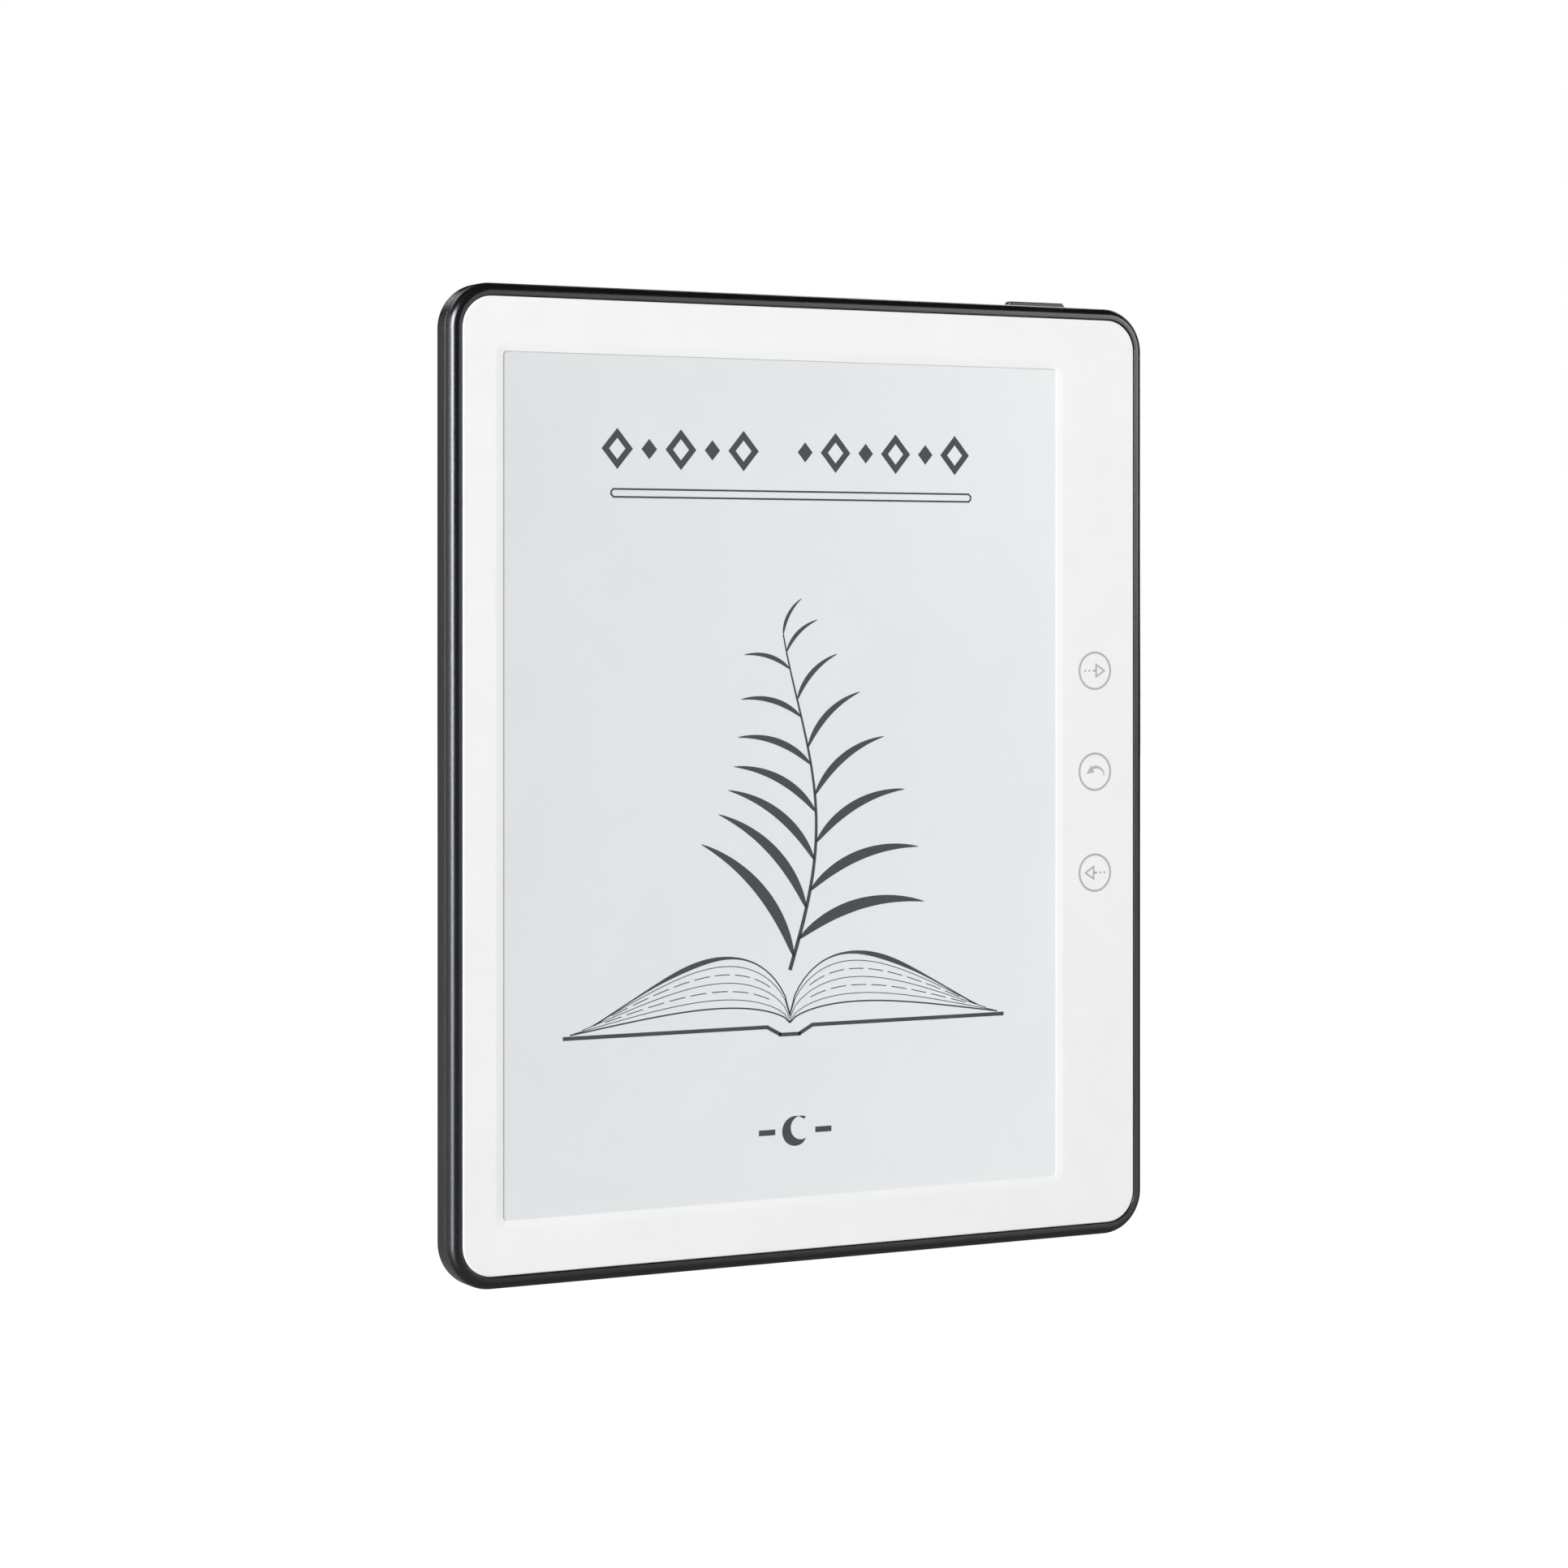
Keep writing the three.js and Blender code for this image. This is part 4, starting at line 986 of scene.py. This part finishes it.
def leaf(drawing, x, z, heading, side, length):
    """A slender leaf that leaves the stem at an angle and bends out towards its tip."""
    line, widths = [], []
    for step in range(LEAF_STEPS + 1):
        along = step / LEAF_STEPS
        turn = math.radians(heading - side * (34 + 26 * along))
        line.append((x + length * along * math.cos(turn), z + length * along * math.sin(turn)))
        widths.append(0.075 * length * math.sin(math.pi * along**0.8) ** 0.8 + 0.1 * MM)
    drawing.stroke(line, widths)


def sprig():
    """A sprig of willow that grows out of the book, with leaves in turn that shrink to its tip."""
    drawing = Print(PAGE_PRINT_DEPTH)
    shares = [step / LINE_STEPS for step in range(LINE_STEPS + 1)]
    stem = [stem_point(share) for share in shares]
    drawing.stroke(stem, [(0.85 - 0.55 * share) * MM for share in shares])
    for number in range(LEAF_PAIRS):
        for side in (-1, 1):
            share = (number + 0.45 + 0.18 * side) / LEAF_PAIRS
            x, z = stem_point(share)
            ahead_x, ahead_z = stem_point(share + 0.01)
            heading = math.degrees(math.atan2(ahead_z - z, ahead_x - x))
            leaf(drawing, x, z, heading, side, (31 - 23 * share) * MM)
    leaf(drawing, *stem[-1], 120, 1, 8 * MM)
    drawing.piece("page_sprig", PAGE_INK, "ink_film")


BOOK_HALF_WIDTH = 47 * MM
BOOK_LINES = 7
COVER_LINE = 0.75 * MM
LOWEST_PAGE_LINE = 0.3 * MM
PAGE_EDGE_LINE = 0.16 * MM
DASH_LINE = 0.18 * MM
DASH_STEPS = 4


def page_line(side, share):
    """One line of an open book's half, from the spine over a crest to the fore edge; the top page's
    line is at share 0 and the lowest at 1."""
    reach = BOOK_HALF_WIDTH - (5 - 5 * share) * MM
    foot = BOOK_Z + (2.4 - 1.6 * share) * MM
    crest = (11.5 - 8 * share) * MM
    line = []
    for step in range(LINE_STEPS + 1):
        along = step / LINE_STEPS
        line.append((PAGE_X + side * reach * along, foot + crest * math.sin(math.pi * along**0.62)))
    return line


def open_book():
    """A plain open book, seen from its foot: page edges, lines of print and a cover."""
    drawing = Print(PAGE_PRINT_DEPTH)
    swell = []
    for step in range(LINE_STEPS + 1):
        swell.append((0.28 + 0.75 * math.sin(math.pi * step / LINE_STEPS) ** 6) * MM)
    for side in (-1, 1):
        for number in range(BOOK_LINES):
            line = page_line(side, number / (BOOK_LINES - 1))
            if number == 0:
                drawing.stroke(line, swell)
            elif number == BOOK_LINES - 1:
                drawing.stroke(line, LOWEST_PAGE_LINE)
            elif number % 2:
                drawing.stroke(line, PAGE_EDGE_LINE)
            else:
                for start in range(DASH_STEPS, LINE_STEPS - DASH_STEPS, DASH_STEPS):
                    drawing.stroke(line[start:start + DASH_STEPS], DASH_LINE)
        cover = ((2, -1.4), (5, 0.2), (48.5, 0.2))
        drawing.stroke([(PAGE_X + side * u * MM, BOOK_Z + v * MM) for u, v in cover], COVER_LINE)
    spine_z = BOOK_Z - 1.4 * MM
    drawing.stroke([(PAGE_X - 2.4 * MM, spine_z), (PAGE_X + 2.4 * MM, spine_z)], COVER_LINE)
    drawing.piece("page_book", PAGE_INK, "ink_film")


SIGN_BAR = 3.6 * MM
SIGN_BAR_LINE = 1.1 * MM


def sleep_sign():
    """A crescent between two short bars."""
    drawing = Print(PAGE_PRINT_DEPTH)
    sides = 40
    outer = circle(SIGN_X, SIGN_Z, 2.9 * MM, sides, 50.0, 260.0)
    inner = circle(SIGN_X + 1.3 * MM, SIGN_Z + 0.6 * MM, 2.3 * MM, sides, 62.0, 236.0)
    drawing.band(inner, outer)
    for side in (-1, 1):
        middle = SIGN_X + side * 6.2 * MM
        ends = [(middle - SIGN_BAR / 2, SIGN_Z), (middle + SIGN_BAR / 2, SIGN_Z)]
        drawing.stroke(ends, SIGN_BAR_LINE)
    drawing.piece("page_sleep_sign", PAGE_INK, "ink_film")


# ---- Studio ----

CAMERA_PLACE = Vector((-0.36569, -0.668957, 0.127606))
CAMERA_TURN = -28.38
CAMERA_LENS = 89.70
CAMERA_SHIFT_Y = -0.1147

READER_MIDDLE = Vector((0, 0, (BODY.bottom + BODY.top) / 2))
ROOM_IN_FRONT = 0.05
ROOM_BEHIND = 0.3
# Each soft light: its name, the angle in degrees that it stands to the left of the screen's direction,
# its distance, the height of its middle, its width and height, and its radiance.
SOFT_LIGHTS = [
    ("key_softbox", 63, 3.0, 0.94, (1.75, 1.84), 16.0),
    ("fill_softbox", -48, 1.8, 0.56, (1.04, 0.9), 3.5),
    ("gap_card", -23, 1.3, 0.32, (0.22, 0.6), 1.5),
    ("back_softbox", -126, 2.2, 0.95, (1.7, 1.8), 2.5),
    ("overhead_card", 162, 2.0, 1.5, (1.8, 0.9), 1.2),
    ("spill_card", 100, 1.9, 0.5, (0.8, 0.9), 2.4),
    ("side_card", 134, 1.6, 0.4, (1.3, 0.8), 0.5),
]
FLOOR_RADIUS = 6.0
FLOOR_GAP = 0.02 * MM
FLOOR_TONE = 0.4
FLOOR_ROUGHNESS = 0.3
FLOOR_GLOW = 0.95  # what the camera sees of the floor close to the reader, on top of its own light


def add_camera():
    camera = bpy.data.cameras.new("camera")
    camera.lens = CAMERA_LENS
    camera.shift_y = CAMERA_SHIFT_Y
    camera.clip_start = 0.01
    camera.clip_end = 50
    holder = bpy.data.objects.new("camera", camera)
    holder.location = CAMERA_PLACE
    holder.rotation_euler = (math.radians(90), 0, math.radians(CAMERA_TURN))
    bpy.context.scene.collection.objects.link(holder)
    bpy.context.scene.camera = holder


def add_softbox(name, left_of_front, distance, height, size, radiance):
    """A soft light that faces the reader from an angle to the left of the screen's own direction."""
    turn = math.radians(left_of_front)
    place = Vector((-distance * math.sin(turn), -distance * math.cos(turn), height))
    light = bpy.data.lights.new(name, "AREA")
    light.shape = "RECTANGLE"
    light.size, light.size_y = size
    light.energy = radiance * math.pi * light.size * light.size_y
    holder = bpy.data.objects.new(name, light)
    holder.location = place
    holder.rotation_euler = (READER_MIDDLE - place).to_track_quat("-Z", "Y").to_euler()
    holder.visible_camera = False
    bpy.context.scene.collection.objects.link(holder)


def when_seen_by_camera(tree, socket, seen, unseen):
    """Mixes two shaders of the studio, of which only one is seen by the camera itself."""
    mix = tree.nodes.new("ShaderNodeMixShader")
    path = tree.nodes.new("ShaderNodeLightPath")
    tree.links.new(path.outputs["Is Camera Ray"], mix.inputs["Fac"])
    tree.links.new(unseen, mix.inputs[1])
    tree.links.new(seen, mix.inputs[2])
    tree.links.new(mix.outputs["Shader"], socket)


def add_world():
    """White to the camera, and a dim room to everything else, a little lighter behind the reader."""
    world = bpy.data.worlds.new("studio")
    bpy.context.scene.world = world
    world.use_nodes = True
    tree = world.node_tree
    room = tree.nodes["Background"]
    place = tree.nodes.new("ShaderNodeTexCoord")
    axes = tree.nodes.new("ShaderNodeSeparateXYZ")
    level = tree.nodes.new("ShaderNodeMapRange")
    level.inputs["From Min"].default_value = -0.2
    level.inputs["From Max"].default_value = 0.7
    level.inputs["To Min"].default_value = ROOM_IN_FRONT
    level.inputs["To Max"].default_value = ROOM_BEHIND
    tree.links.new(place.outputs["Generated"], axes.inputs["Vector"])
    tree.links.new(axes.outputs["Y"], level.inputs["Value"])
    tree.links.new(level.outputs["Result"], room.inputs["Strength"])
    backdrop = tree.nodes.new("ShaderNodeBackground")
    backdrop.inputs["Color"].default_value = (1, 1, 1, 1)
    backdrop.inputs["Strength"].default_value = 1.0
    surface = tree.nodes["World Output"].inputs["Surface"]
    when_seen_by_camera(tree, surface, backdrop.outputs["Background"], room.outputs["Background"])


def add_floor():
    """A pale round floor that turns white with distance, so that it has no horizon."""
    count = 96
    rim = [(x, y, -FLOOR_GAP) for x, y in circle(0, 0, FLOOR_RADIUS, count)]
    mesh = bpy.data.meshes.new("floor")
    mesh.from_pydata(rim, [], [list(range(count))])
    shader = Shader("floor")
    shader.set(base_color=grey(FLOOR_TONE), roughness=FLOOR_ROUGHNESS)
    length = shader.node("ShaderNodeVectorMath", operation="LENGTH")
    shader.link(shader.place, length.inputs[0])
    glow = shader.node("ShaderNodeEmission")
    away = shader.spread(length.outputs["Value"], FLOOR_GLOW, 1.0, 0.25, 1.2)
    shader.link(away, glow.inputs["Strength"])
    seen = shader.node("ShaderNodeAddShader")
    shader.link(glow.outputs["Emission"], seen.inputs[0])
    shader.link(shader.surface.outputs["BSDF"], seen.inputs[1])
    output = shader.tree.nodes["Material Output"].inputs["Surface"]
    when_seen_by_camera(shader.tree, output, seen.outputs["Shader"], shader.surface.outputs["BSDF"])
    mesh.materials.append(shader.material)
    floor = bpy.data.objects.new("floor", mesh)
    bpy.context.scene.collection.objects.link(floor)


def add_studio():
    bpy.context.scene.view_settings.view_transform = "Standard"
    add_world()
    add_floor()
    for soft_light in SOFT_LIGHTS:
        add_softbox(*soft_light)


# ---- Build ----

finish_cad_nodes()
front_panel()
front_rim()
rear_shell()
power_key()
ink_screen()
key_prints()
heading_ornament()
double_rule()
sprig()
open_book()
sleep_sign()
add_camera()
add_studio()
